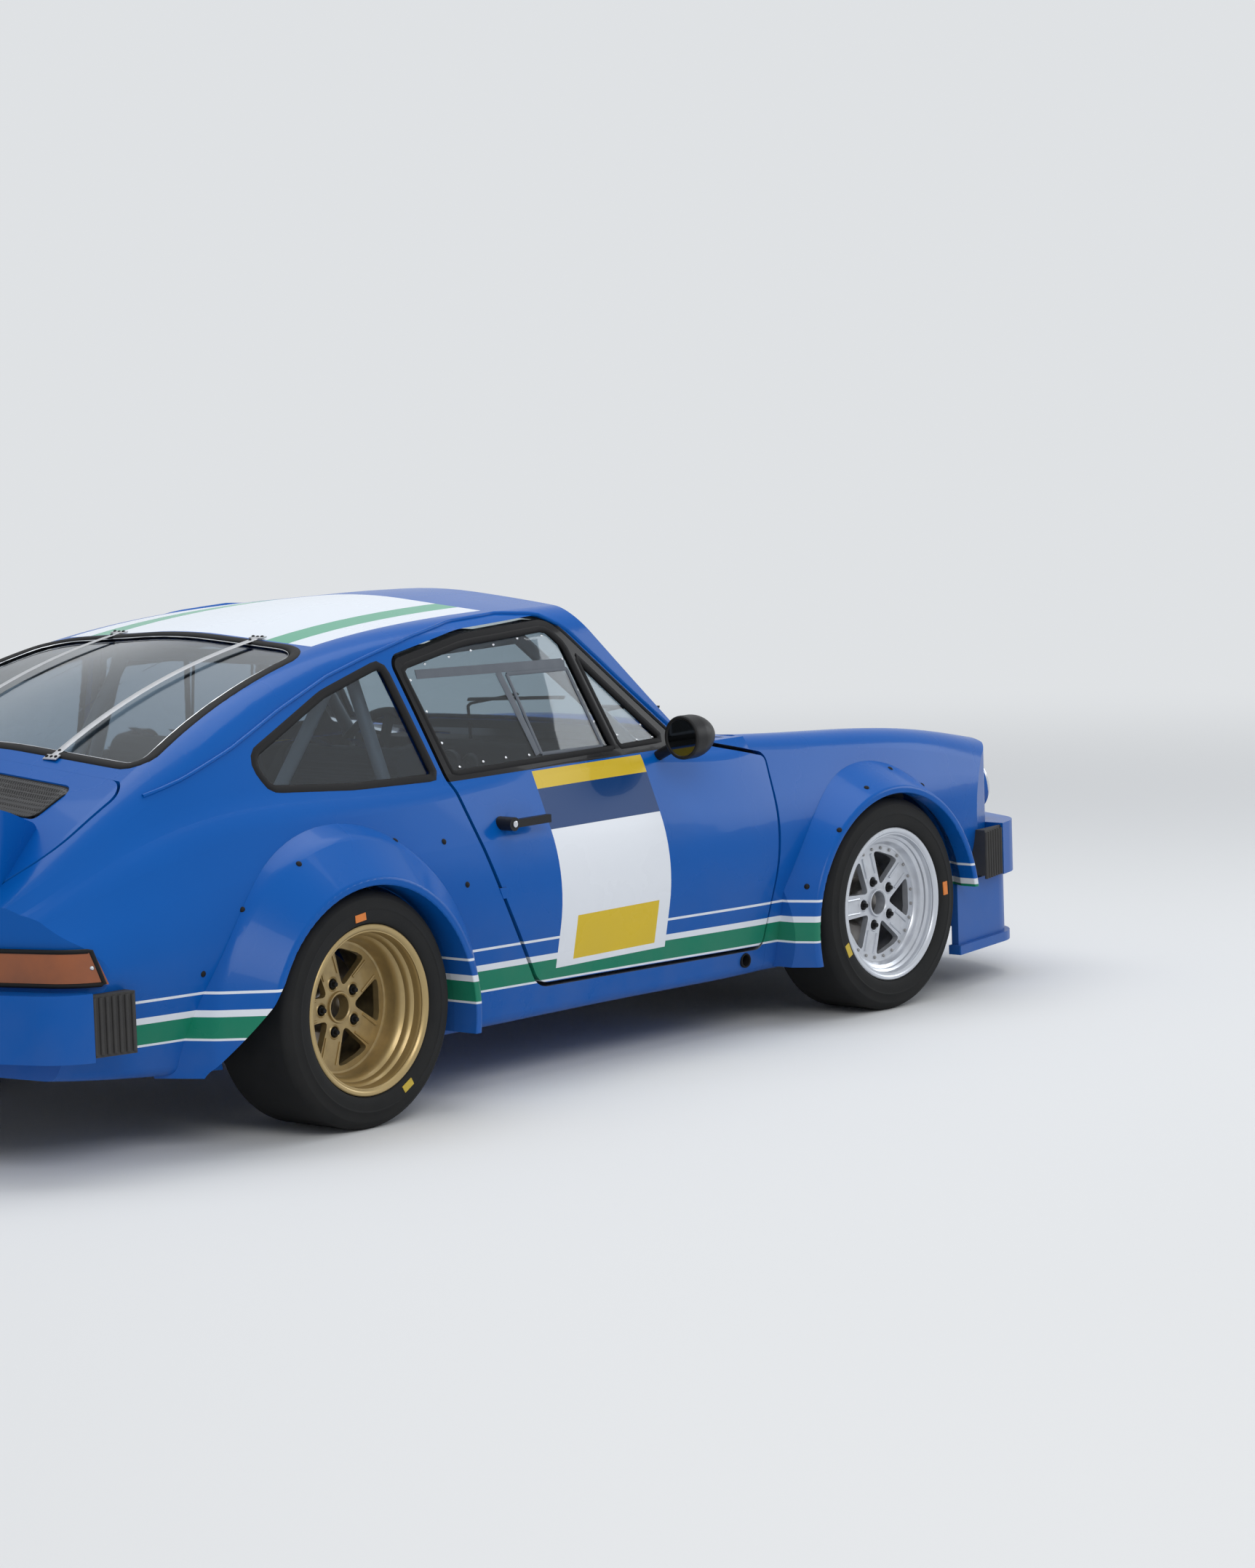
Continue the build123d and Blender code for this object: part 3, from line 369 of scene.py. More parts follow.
def paintedMetal(name, stripesOn=True, extra=None):
    mat = newMaterial(name, paint["blue"], paint["roughness"], coat=paint["coat"], specular=paint["specular"])
    tree = mat.node_tree
    shader = tree.nodes["Principled BSDF"]
    cloud = cloudOver(tree, paint["blue"], paint["deep"], 2.2, 0.55, paint["roughness"], 0.12)
    colour = cloud["Colour"]
    if stripesOn:
        colour = useGroup(tree, sideStripes, Colour=colour)["Colour"]
    if extra:
        colour = extra(tree, colour)
    haze = useGroup(tree, dusty, Top=paint["dustTop"], Depth=paint["dustDepth"],
                    Amount=paint["dustAmount"])["Mask"]
    link(tree, blendColours(tree, haze, colour, paint["dust"]), shader.inputs["Base Color"])
    rough = calc(tree, "MULTIPLY_ADD", haze, paint["dustRoughness"], cloud["Roughness"], clamp=True)
    link(tree, rough, shader.inputs["Roughness"])
    coat = calc(tree, "MULTIPLY_ADD", haze, paint["dustDulling"], paint["coat"], clamp=True)
    link(tree, coat, shader.inputs["Coat Weight"])
    addBump(tree, objectNoise(tree, paint["peelScale"]), *paint["peel"])
    return mat


panelSpan = (-0.1995, 0.2655)
doorMarks = dict(
    panel=(panelSpan, (0.305, 0.690), (0.74, 0.77, 0.82)),
    block=(panelSpan, (0.690, 0.800), (0.002, 0.038, 0.15)),
    strip=(panelSpan, (0.800, 0.848), (0.62, 0.44, 0.035)),
    label=((-0.130, 0.218), (0.322, 0.445), (0.66, 0.47, 0.03)),
)
doorAreas = dict(outerFrom=0.655, frameFrom=0.853, inside=(0.05, 0.052, 0.056))
roofBand = dict(above=1.19, across=0.47, x=(-0.80, -0.12), green=(0.30, 0.385),
                whiteColour=(0.70, 0.75, 0.82), greenColour=(0.10, 0.36, 0.24))
cabin = dict(middle=(-0.35, 0, 0.72), facing=-0.02, along=(-1.485, 0.72))


def insideMask(tree):
    # the faces that look at the middle of the cabin
    shape = tree.nodes.new("ShaderNodeNewGeometry")
    offset = tree.nodes.new("ShaderNodeVectorMath")
    offset.operation = "SUBTRACT"
    offset.inputs[1].default_value = cabin["middle"]
    turned = tree.nodes.new("ShaderNodeVectorMath")
    turned.operation = "DOT_PRODUCT"
    link(tree, objectCoords(tree), offset.inputs[0])
    link(tree, offset.outputs[0], turned.inputs[0])
    link(tree, shape.outputs["Normal"], turned.inputs[1])
    facing = calc(tree, "LESS_THAN", turned.outputs["Value"], cabin["facing"])
    return calc(tree, "MULTIPLY", facing, bandMask(tree, objectAxes(tree)[0], cabin["along"]))


def doorExtra(tree, colour):
    x, y, z = objectAxes(tree)
    outer = calc(tree, "GREATER_THAN", calc(tree, "ABSOLUTE", y), doorAreas["outerFrom"])
    for span, height, tint in doorMarks.values():
        mask = calc(tree, "MULTIPLY", rectangleMask(tree, x, z, span, height), outer)
        colour = blendColours(tree, mask, colour, tint)
    frameMask = calc(tree, "GREATER_THAN", z, doorAreas["frameFrom"])
    colour = blendColours(tree, frameMask, colour, paint["black"])
    return blendColours(tree, insideMask(tree), colour, doorAreas["inside"])


def shellExtra(tree, colour):
    x, y, z = objectAxes(tree)
    aside = calc(tree, "ABSOLUTE", y)
    high = calc(tree, "GREATER_THAN", z, roofBand["above"])
    for across, tint in (((-1, roofBand["across"]), "whiteColour"), (roofBand["green"], "greenColour")):
        mask = calc(tree, "MULTIPLY", rectangleMask(tree, x, aside, roofBand["x"], across), high)
        colour = blendColours(tree, mask, colour, roofBand[tint])
    return blendColours(tree, insideMask(tree), colour, paint["inside"])


shellPaint = paintedMetal("shellPaint", extra=shellExtra)
doorPaint = paintedMetal("doorPaint", extra=doorExtra)
sidePaint = paintedMetal("sidePaint")
plainPaint = paintedMetal("plainPaint", stripesOn=False)

# colour, second colour, size and amount of the clouds, roughness and its spread, bump
bayPaint = surface("bayPaint", (0.15, 0.16, 0.17), (0.09, 0.10, 0.11), 9, 0.6, 0.45, 0.2)
cagePaint = surface("cagePaint", (0.42, 0.44, 0.46), (0.30, 0.32, 0.34), 12, 0.5, 0.38, 0.15)
blackPlastic = surface("blackPlastic", (0.008, 0.008, 0.009), (0.017, 0.017, 0.018), 60, 0.6, 0.42, 0.2,
                       (0.15, 0.0004), specular=0.25)
softBlack = surface("softBlack", (0.006, 0.006, 0.007), (0.016, 0.016, 0.017), 45, 0.7, 0.62, 0.15,
                    (0.2, 0.0006), specular=0.18)
bellowsRubber = surface("bellowsRubber", (0.02, 0.02, 0.021), (0.055, 0.052, 0.048), 22, 0.7, 0.7, 0.15,
                        (0.2, 0.0006))
tyreRubber = surface("tyreRubber", (0.010, 0.011, 0.012), (0.030, 0.029, 0.028), 14.0, 0.7, 0.7, 0.2,
                     (0.25, 0.001), specular=0.14)
grilleMetal = surface("grilleMetal", (0.02, 0.02, 0.022), (0.045, 0.045, 0.047), 20, 0.6, 0.45, 0.2,
                      metallic=0.6)
discIron = surface("discIron", (0.34, 0.33, 0.32), (0.20, 0.17, 0.15), 30, 0.6, 0.35, 0.25, metallic=0.9)
darkSteel = surface("darkSteel", (0.05, 0.05, 0.055), (0.11, 0.10, 0.09), 18, 0.7, 0.5, 0.2,
                    (0.2, 0.0008), metallic=0.3)
castAlloy = surface("castAlloy", (0.38, 0.38, 0.38), (0.22, 0.21, 0.20), 24, 0.7, 0.5, 0.2,
                    (0.4, 0.001), metallic=0.8)
pipeSteel = surface("pipeSteel", (0.36, 0.33, 0.30), (0.20, 0.14, 0.10), 14, 0.7, 0.38, 0.25, metallic=0.95)
brightSteel = surface("brightSteel", (0.68, 0.70, 0.73), (0.5, 0.52, 0.55), 30, 0.5, 0.22, 0.15, metallic=1.0)
strapSilver = surface("strapSilver", (0.44, 0.45, 0.47), (0.32, 0.33, 0.35), 40, 0.5, 0.5, 0.2, metallic=0.35)
edgeGrey = surface("edgeGrey", (0.085, 0.10, 0.125), (0.05, 0.06, 0.075), 30, 0.5, 0.5, 0.15)
amberLens = surface("amberLens", (0.42, 0.10, 0.014), (0.13, 0.040, 0.014), 9, 1.0, 0.25, 0.15, coat=0.4)
suede = surface("suede", (0.02, 0.02, 0.021), (0.05, 0.05, 0.052), 90, 0.7, 0.85, 0.1, (0.4, 0.0006))
mirrorGlass = surface("mirrorGlass", (0.10, 0.11, 0.12), (0.07, 0.08, 0.09), 8, 0.5, 0.05, 0.03, metallic=1.0)
dialFace = surface("dialFace", (0.010, 0.010, 0.011), (0.02, 0.02, 0.022), 60, 0.5, 0.35, 0.1)
plateWhite = surface("plateWhite", (0.72, 0.73, 0.72), (0.58, 0.58, 0.56), 12, 0.5, 0.4, 0.1)
amberPatch = surface("amberPatch", (0.75, 0.22, 0.03), (0.45, 0.13, 0.03), 80, 0.6, 0.6, 0.1)
yellowPatch = surface("yellowPatch", (0.62, 0.45, 0.04), (0.35, 0.25, 0.04), 80, 0.6, 0.6, 0.1)


def clearPane(name, tint, roughness=0.015):
    mat = surface(name, tint, tuple(0.9 * c for c in tint), 3.0, 0.5, roughness, 0.03)
    shader = mat.node_tree.nodes["Principled BSDF"]
    shader.inputs["Transmission Weight"].default_value = 1.0
    shader.inputs["IOR"].default_value = 1.46
    return mat


sideGlass = clearPane("sideGlass", (0.42, 0.50, 0.57))
frontGlass = clearPane("frontGlass", (0.62, 0.70, 0.72))
lampGlass = clearPane("lampGlass", (0.93, 0.95, 0.96), 0.03)


def wovenCloth(name, colour, second, pitch):
    mat = newMaterial(name, colour, 0.9)
    tree = mat.node_tree
    shader = tree.nodes["Principled BSDF"]
    shader.inputs["Sheen Weight"].default_value = 0.3
    coords = objectCoords(tree)
    waves = []
    for axis in ("X", "Z"):
        wave = tree.nodes.new("ShaderNodeTexWave")
        wave.bands_direction = axis
        wave.inputs["Scale"].default_value = pitch
        wave.inputs["Distortion"].default_value = 0.4
        link(tree, coords, wave.inputs["Vector"])
        waves.append(wave.outputs["Fac"])
    weave = calc(tree, "MULTIPLY", waves[0], waves[1])
    link(tree, blendColours(tree, weave, second, colour), shader.inputs["Base Color"])
    addBump(tree, weave, 0.5, 0.0008)
    return mat


seatCloth = wovenCloth("seatCloth", (0.045, 0.05, 0.075), (0.02, 0.022, 0.035), 160)
beltWebbing = wovenCloth("beltWebbing", (0.02, 0.10, 0.34), (0.01, 0.05, 0.18), 220)

# brake dust in patches, partly painted shade: darker the deeper it lies in the rim
rimDustAndShade = dict(scale=26, detail=6, outerFace=0.87, deepening=5.0, least=0.3, gain=2.2, most=0.75,
                 roughening=0.35)


def wheelMetal(name, colour, second, soot, roughness, metallic):
    mat = newMaterial(name, colour, roughness, metallic, coat=0.3)
    tree = mat.node_tree
    shader = tree.nodes["Principled BSDF"]
    cloud = cloudOver(tree, colour, second, 10.0, 0.6, roughness, 0.18)
    d = rimDustAndShade
    # painted shade with brake dust: darker and rougher in patches the deeper into the rim, towards the soot
    # colour
    deep = calc(tree, "SUBTRACT", d["outerFace"], calc(tree, "ABSOLUTE", objectAxes(tree)[1]))
    deep = calc(tree, "MULTIPLY", deep, d["deepening"], clamp=True)
    mask = calc(tree, "SUBTRACT", objectNoise(tree, d["scale"], d["detail"]), d["least"])
    mask = calc(tree, "MULTIPLY", mask, d["gain"], clamp=True)
    mask = calc(tree, "MULTIPLY", calc(tree, "MULTIPLY", mask, deep), d["most"])
    link(tree, blendColours(tree, mask, cloud["Colour"], soot), shader.inputs["Base Color"])
    rough = calc(tree, "MULTIPLY_ADD", mask, d["roughening"], cloud["Roughness"], clamp=True)
    link(tree, rough, shader.inputs["Roughness"])
    return mat


goldMetal = wheelMetal("goldMetal", (0.46, 0.34, 0.15), (0.33, 0.24, 0.11), (0.09, 0.065, 0.045), 0.36, 0.68)
silverMetal = wheelMetal("silverMetal", (0.62, 0.65, 0.70), (0.48, 0.50, 0.55), (0.16, 0.15, 0.15), 0.30, 0.6)

nodeMaterials = dict(
    body_shell=shellPaint, front_tub=bayPaint, bonnet=plainPaint, nose_panel=plainPaint, engine_lid=plainPaint,
    front_flares=sidePaint, rear_flares=sidePaint, front_bumper=sidePaint, rear_bumper=plainPaint,
    chin_spoiler=plainPaint, engine_grille=grilleMetal, quarter_windows=sideGlass, rear_window=sideGlass,
    windscreen=frontGlass, bumper_bellows=bellowsRubber, headlamps=lampGlass, tail_lamps=amberLens,
    front_suspension=darkSteel, rear_suspension=darkSteel, engine=castAlloy, exhaust=pipeSteel,
    roll_cage=cagePaint, dashboard=softBlack, steering_wheel=suede,
)
for side in ("left", "right"):
    nodeMaterials.update({
        f"front_wing_{side}": sidePaint, f"door_{side}": doorPaint, f"door_glass_{side}": sideGlass,
        f"mirror_{side}": blackPlastic, f"door_handle_{side}": blackPlastic, f"seat_{side}": seatCloth,
        f"front_knuckle_{side}": darkSteel, f"rim_front_{side}": silverMetal, f"rim_rear_{side}": goldMetal,
    })
    for end in ("front", "rear"):
        nodeMaterials.update({f"tyre_{end}_{side}": tyreRubber, f"brake_disc_{end}_{side}": discIron})
for name, obj in nodes.items():
    obj.data.materials.clear()
    obj.data.materials.append(nodeMaterials[name])
print("materials ready")


# shared makers

def newPiece(name, bm, material, body, sharp=40):
    bmesh.ops.remove_doubles(bm, verts=bm.verts, dist=1e-6)
    bmesh.ops.recalc_face_normals(bm, faces=bm.faces)
    for edge in bm.edges:
        edge.smooth = len(edge.link_faces) != 2 or edge.calc_face_angle(0) < radians(sharp)
    for face in bm.faces:
        face.smooth = True
    data = bpy.data.meshes.new(name)
    bm.to_mesh(data)
    bm.free()
    obj = bpy.data.objects.new(name, data)
    scene.collection.objects.link(obj)
    data.materials.append(material)
    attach(obj, body)
    return obj


def surfaceOf(*names):
    bm = bmesh.new()
    for name in names:
        bm.from_mesh(nodes[name].data)
    tree = BVHTree.FromBMesh(bm)
    bm.free()
    return tree


def touch(tree, start, direction):
    # where a ray meets the surface, and the surface's direction there
    spot, normal = tree.ray_cast(Vector(start), Vector(direction).normalized())[:2]
    if spot is None:
        return None
    return spot, normal if normal.dot(Vector(direction)) < 0 else -normal


def frameAt(place, up, along):
    across = up.cross(along).normalized()
    lift = along.cross(across).normalized()
    turn = Matrix((across, lift, along)).transposed().to_4x4()
    turn.translation = place
    return turn


def edgesOf(verts):
    # each edge once, in the same order on every run
    return list(dict.fromkeys(e for v in verts for e in v.link_edges))


def sweepRings(bm, path, ups, width, height, closed, segments=10):
    rings = []
    count = len(path)
    for i, (place, up) in enumerate(zip(path, ups)):
        before = path[i - 1] if closed or i else path[0]
        after = path[(i + 1) % count] if closed or i < count - 1 else path[-1]
        turn = frameAt(place, up, (after - before).normalized())
        turn = turn @ Matrix.Diagonal((width / 2, height / 2, 1, 1))
        made = bmesh.ops.create_circle(bm, segments=segments, radius=1, matrix=turn)
        rings.append(edgesOf(made["verts"]))
    pairs = list(zip(rings, rings[1:] + rings[:1])) if closed else list(zip(rings, rings[1:]))
    for one, two in pairs:
        bmesh.ops.bridge_loops(bm, edges=one + two)
    if not closed:
        for ring in (rings[0], rings[-1]):
            bmesh.ops.edgeloop_fill(bm, edges=ring)


def evenPath(points, spacing, closed=False):
    pts = list(points) + ([points[0]] if closed else [])
    lengths = [0.0]
    for a, b in zip(pts, pts[1:]):
        lengths.append(lengths[-1] + (b - a).length)
    steps = max(int(round(lengths[-1] / spacing)), 3)
    out = []
    j = 0
    for k in range(steps if closed else steps + 1):
        want = lengths[-1] * k / steps
        while j < len(lengths) - 2 and lengths[j + 1] < want:
            j += 1
        span = max(lengths[j + 1] - lengths[j], 1e-9)
        out.append(pts[j].lerp(pts[j + 1], (want - lengths[j]) / span))
    return out


def roundBar(bm, a, b, radius, segments=12, bevel=0.0):
    a, b = Vector(a), Vector(b)
    along = (b - a).normalized()
    up = Vector((0, 0, 1)) if abs(along.z) < 0.9 else Vector((1, 0, 0))
    turn = frameAt((a + b) / 2, up, along)
    made = bmesh.ops.create_cone(bm, cap_ends=True, segments=segments, radius1=radius, radius2=radius,
                                 depth=(b - a).length, matrix=turn)
    if bevel:
        rims = [e for e in edgesOf(made["verts"]) if len(e.link_faces) == 2 and e.calc_face_angle(0) > 1.2]
        bmesh.ops.bevel(bm, geom=rims, offset=bevel, affect="EDGES", segments=2, profile=0.5, material=-1)


def softBlock(bm, turn, size, bevel, segments=2):
    made = bmesh.ops.create_cube(bm, size=1, matrix=turn @ Matrix.Diagonal((*size, 1)))
    bmesh.ops.bevel(bm, geom=edgesOf(made["verts"]), offset=bevel, affect="EDGES", segments=segments, profile=0.5, material=-1)


def dome(bm, place, normal, radius, rise, segments=12):
    turn = Vector(normal).to_track_quat("Z", "Y").to_matrix().to_4x4()
    turn.translation = place
    bmesh.ops.create_uvsphere(
        bm, u_segments=segments, v_segments=6, radius=1,
        matrix=turn @ Matrix.Diagonal((radius, radius, rise, 1)))


def spinProfile(bm, points, axisPlace, axis, segments, sideways):
    # a profile of (radius, offset along the axis) pairs, turned all the way round
    start = Vector(axisPlace)
    verts = [bm.verts.new(start + Vector(sideways) * r + Vector(axis) * t) for r, t in points]
    edges = [bm.edges.new(pair) for pair in zip(verts, verts[1:])]
    bmesh.ops.spin(bm, geom=verts + edges, cent=axisPlace, axis=axis, angle=2 * pi, steps=segments,
                   use_merge=True)


def sideRay(x, z, sign, tree):
    return touch(tree, (x, 1.3 * sign, z), (0, -sign, 0))


def sideHits(path, sign, tree):
    hits = [sideRay(p.x, p.z, sign, tree) for p in path]
    return [h for h in hits if h]


def sweepHits(bm, hits, width, height, segments=8):
    sweepRings(bm, [h[0] for h in hits], [h[1] for h in hits], width, height, False, segments)


def upright(*pairs):
    return [Vector((x, 0, z)) for x, z in pairs]


sides = (("right", -1), ("left", 1))
shellSurface = surfaceOf("body_shell")
print("makers ready")


# window seals, from the panes' own outer edges

seals = dict(
    quarter=dict(width=0.030, rise=0.016), door=dict(width=0.021, rise=0.015),
    rear=dict(width=0.034, rise=0.017), front=dict(width=0.028, rise=0.016),
    spacing=0.022, lift=0.004, sharpest=55, facing=0.45, shortest=0.5,
)


def sideward(sign):
    return lambda p: Vector((0, sign, 0.35)).normalized()


def rearward(p):
    return Vector((-0.45, 0, 0.9)).normalized()


def paneLoops(nodeName, outward):
    bm = bmesh.new()
    bm.from_mesh(nodes[nodeName].data)
    bmesh.ops.remove_doubles(bm, verts=bm.verts, dist=2e-5)
    chosen = {}
    for edge in bm.edges:
        if len(edge.link_faces) == 2 and edge.calc_face_angle(0) > radians(seals["sharpest"]):
            if any(f.normal.dot(outward(f.calc_center_median())) > seals["facing"] for f in edge.link_faces):
                chosen[edge] = True
    loops = []
    while chosen:
        edge = next(iter(chosen))
        del chosen[edge]
        chain = [edge.verts[0], edge.verts[1]]
        for end in range(2):
            growing = True
            while growing:
                growing = False
                for follow in chain[-1].link_edges:
                    if follow in chosen:
                        del chosen[follow]
                        chain.append(follow.other_vert(chain[-1]))
                        growing = True
                        break
            if chain[0] is not chain[-1]:
                chain.reverse()
        length = sum((b.co - a.co).length for a, b in zip(chain, chain[1:]))
        if length > seals["shortest"]:
            points, ups = [], []
            for v in chain[:-1] if chain[0] is chain[-1] else chain:
                points.append(v.co.copy())
                faces = [f.normal for f in v.link_faces if f.normal.dot(outward(v.co)) > seals["facing"]]
                ups.append(sum(faces, Vector()).normalized() if faces else outward(v.co).normalized())
            loops.append((points, ups, chain[0] is chain[-1]))
    bm.free()
    return loops


def sealPath(points, ups, closed):
    path = evenPath(points, seals["spacing"], closed)
    nearest = [min(range(len(points)), key=lambda i: (points[i] - p).length_squared) for p in path]
    return path, [ups[i] for i in nearest]


def makeSeal(name, nodeName, outward, size, body):
    bm = bmesh.new()
    for points, ups, closed in paneLoops(nodeName, outward):
        path, upList = sealPath(points, ups, closed)
        path = [p + u * seals["lift"] for p, u in zip(path, upList)]
        sweepRings(bm, path, upList, size["width"], size["rise"], closed)
    return newPiece(name, bm, softBlack, body, sharp=80)


makeSeal("quarterWindowSeals", "quarter_windows", lambda p: sideward(1 if p.y > 0 else -1)(p),
         seals["quarter"], "body")
makeSeal("rearWindowSeal", "rear_window", rearward, seals["rear"], "body")
makeSeal("windscreenSeal", "windscreen", lambda p: Vector((0.7, 0, 0.7)), seals["front"], "body")
for side, sign in sides:
    makeSeal(f"doorWindowSeal_{side}", f"door_glass_{side}", sideward(sign), seals["door"], f"door_{side}")


# bright filler line inside the rear window seal

fillerLine = dict(inset=0.020, over=0.0045, size=0.0028)
lineBm = bmesh.new()
for points, ups, closed in paneLoops("rear_window", rearward):
    path, upList = sealPath(points, ups, closed)
    middle = sum(path, Vector()) / len(path)
    line = []
    for i, (p, u) in enumerate(zip(path, upList)):
        run = path[(i + 1) % len(path)] - path[i - 1]
        inward = u.cross(run).normalized()
        if inward.dot(middle - p) < 0:
            inward = -inward
        line.append(p + inward * fillerLine["inset"] + u * fillerLine["over"])
    sweepRings(lineBm, line, upList, fillerLine["size"], fillerLine["size"], closed, 6)
newPiece("rearWindowLine", lineBm, brightSteel, "body", sharp=60)


# rain gutter over the side windows

gutter = dict(width=0.011, rise=0.015, spacing=0.03, line=(
    (0.455, 0.893), (0.300, 1.033), (0.180, 1.142), (0.090, 1.222), (0.015, 1.262), (-0.120, 1.273),
    (-0.320, 1.266), (-0.495, 1.240), (-0.700, 1.200), (-0.861, 1.164), (-1.080, 1.094), (-1.292, 1.014),
    (-1.480, 0.955), (-1.604, 0.924)))
gutterBm = bmesh.new()
for side, sign in sides:
    hits = sideHits(evenPath(upright(*gutter["line"]), gutter["spacing"]), sign, shellSurface)
    sweepHits(gutterBm, hits, gutter["width"], gutter["rise"])
newPiece("roofGutters", gutterBm, plainPaint, "body", sharp=70)


# two riveted straps over the rear window, with base tabs

rearStraps = dict(offsets=(-0.27, 0.27), top=-0.80, low=-1.575, step=0.03, width=0.024, thick=0.004,
                  lift=0.012, endLift=0.005, tab=(0.022, 0.004, 0.05), tabBevel=0.0015,
                  rivet=0.0048, rivetRise=0.003, rivetShift=0.017)
rearSurface = surfaceOf("body_shell", "rear_window")
strapBm, strapRivets = bmesh.new(), bmesh.new()
for offset in rearStraps["offsets"]:
    s = rearStraps
    path = evenPath([Vector((s["top"], offset, 0)), Vector((s["low"], offset, 0))], s["step"])
    hits = [touch(rearSurface, (p.x, p.y, 2), (0, 0, -1)) for p in path]
    for i, hit in enumerate(hits):
        hit[0].z += s["lift"] if 0 < i < len(hits) - 1 else s["endLift"]
    sweepHits(strapBm, hits, s["width"], s["thick"])
    for i in (0, 1, len(hits) - 2, len(hits) - 1):
        dome(strapRivets, hits[i][0] + hits[i][1] * 0.002, hits[i][1], s["rivet"], s["rivetRise"])
    for place, normal in (hits[0], hits[-1]):
        softBlock(strapBm, frameAt(place, normal, Vector((0, 1, 0))), s["tab"], s["tabBevel"])
        for shift in (-s["rivetShift"], s["rivetShift"]):
            spot = place + Vector((0, shift, 0)) + normal * 0.003
            dome(strapRivets, spot, normal, s["rivet"], s["rivetRise"])
newPiece("rearWindowStraps", strapBm, strapSilver, "body")
newPiece("rearStrapRivets", strapRivets, softBlack, "body")
print("window trim ready")


# domed bolts round the bolt-on arches

archBolts = dict(
    radius=0.0085, rise=0.0045,
    rear=((-0.6375, 0.706), (-0.8255, 0.731), (-1.2405, 0.719), (-1.4235, 0.621), (-1.5645, 0.472),
          (-0.583, 0.585)),
    front=((1.3095, 0.705), (1.1155, 0.671), (0.9465, 0.566), (0.8245, 0.413), (1.462, 0.640)),
)
flareSurface = surfaceOf("body_shell", "front_wing_left", "front_wing_right", "front_flares", "rear_flares")
boltBm = bmesh.new()
for side, sign in sides:
    for x, z in archBolts["rear"] + archBolts["front"]:
        hit = sideRay(x, z, sign, flareSurface)
        if hit:
            dome(boltBm, hit[0], hit[1], archBolts["radius"], archBolts["rise"])
newPiece("archBolts", boltBm, softBlack, "body")


# door windows: grey edge bands, sliding pane and rivets

slidingPane = dict(
    corners=((-0.128, 0.888), (0.130, 0.884), (0.064, 1.106), (-0.182, 1.112)), width=0.012, thick=0.006,
    bars=(((-0.522, 1.140), (0.100, 1.122), 0.030), ((-0.213, 1.120), (-0.142, 0.888), 0.026)),
    barThick=0.003, step=0.04, rivet=0.0042, rivetRise=0.0022, rivetStep=0.105, inset=0.024,
)
for side, sign in sides:
    s = slidingPane
    glass = surfaceOf(f"door_glass_{side}")
    frameBm, rivetBm = bmesh.new(), bmesh.new()
    corners = s["corners"]
    strips = [(a, b, s["width"], s["thick"]) for a, b in zip(corners, corners[1:] + corners[:1])]
    strips += [(a, b, width, s["barThick"]) for a, b, width in s["bars"]]
    for a, b, width, thick in strips:
        hits = sideHits(evenPath(upright(a, b), s["step"]), sign, glass)
        if len(hits) > 1:
            sweepHits(frameBm, hits, width, thick, 6)
    newPiece(f"slidingPaneFrame_{side}", frameBm, edgeGrey, f"door_{side}")
    for points, ups, closed in paneLoops(f"door_glass_{side}", sideward(sign)):
        centre = sum(points, Vector()) / len(points)
        inner = [p + (centre - p).normalized() * s["inset"] for p in evenPath(points, s["rivetStep"], closed)]
        for place, normal in sideHits(inner, sign, glass):
            dome(rivetBm, place, normal, s["rivet"], s["rivetRise"], 10)
    newPiece(f"doorPaneRivets_{side}", rivetBm, brightSteel, f"door_{side}")
print("bolts and rivets ready")


# wheels: turned rims with five spokes, tyres with round shoulders

wheelSets = dict(
    front=dict(x=1.2155, face=0.866, width=0.236, dish=0.066, metal=silverMetal, windowEdge=0.143,
               windowRound=0.012, rib=0.021, ringBolts=24),
    rear=dict(x=-1.0565, face=0.890, width=0.284, dish=0.122, metal=goldMetal, windowEdge=0.146,
              windowRound=0.015, rib=0.027, ringBolts=0),
)
wheelShape = dict(centreZ=0.315, tyreRadius=0.315, segments=96, boltCircle=0.067, boltHole=0.0155, bore=0.035,
                  plateRadius=0.1715, plateDepth=0.020, windowTip=0.052, windowHalf=0.060,
                  ringBoltCircle=0.1625, spokes=5, spokeAngle=54, spokeReach=(0.088, 0.11, 0.13, 0.150))


def makeTyre(name, w, sign, body):
    r, width = wheelShape["tyreRadius"], w["width"]
    half = [(0.2065, -0.030), (0.2275, -0.0146), (0.2300, -0.0060), (0.2360, -0.0020), (0.2500, -0.0008),
            (0.2620, 0.0), (0.2655, 0.0), (0.2665, 0.0009), (0.2685, 0.0009), (0.2695, 0.0), (0.2790, -0.0012),
            (0.2920, -0.0050), (0.2935, -0.0046), (0.2955, -0.0058), (0.3030, -0.0110), (0.3105, -0.0190),
            (0.3140, -0.0270), (r - 0.0002, -0.034)]
    middle = [(r, -width * 0.3), (r, -width * 0.5), (r, -width * 0.7)]
    full = half + middle + [(a, -width - b) for a, b in reversed(half)]
    full.append(full[0])
    bm = bmesh.new()
    place = Vector((w["x"], w["face"] * sign, wheelShape["centreZ"]))
    spinProfile(bm, full, place, (0, sign, 0), wheelShape["segments"], (0, 0, 1))
    piece = newPiece(name, bm, tyreRubber, body, sharp=50)
    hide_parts(name.replace("tyreRing_", "tyre_"))
    return piece


def ringPoints(radius, count, centre=(0, 0)):
    turns = [2 * pi * i / count for i in range(count)]
    return [(centre[0] + radius * sin(a), centre[1] + radius * cos(a)) for a in turns]


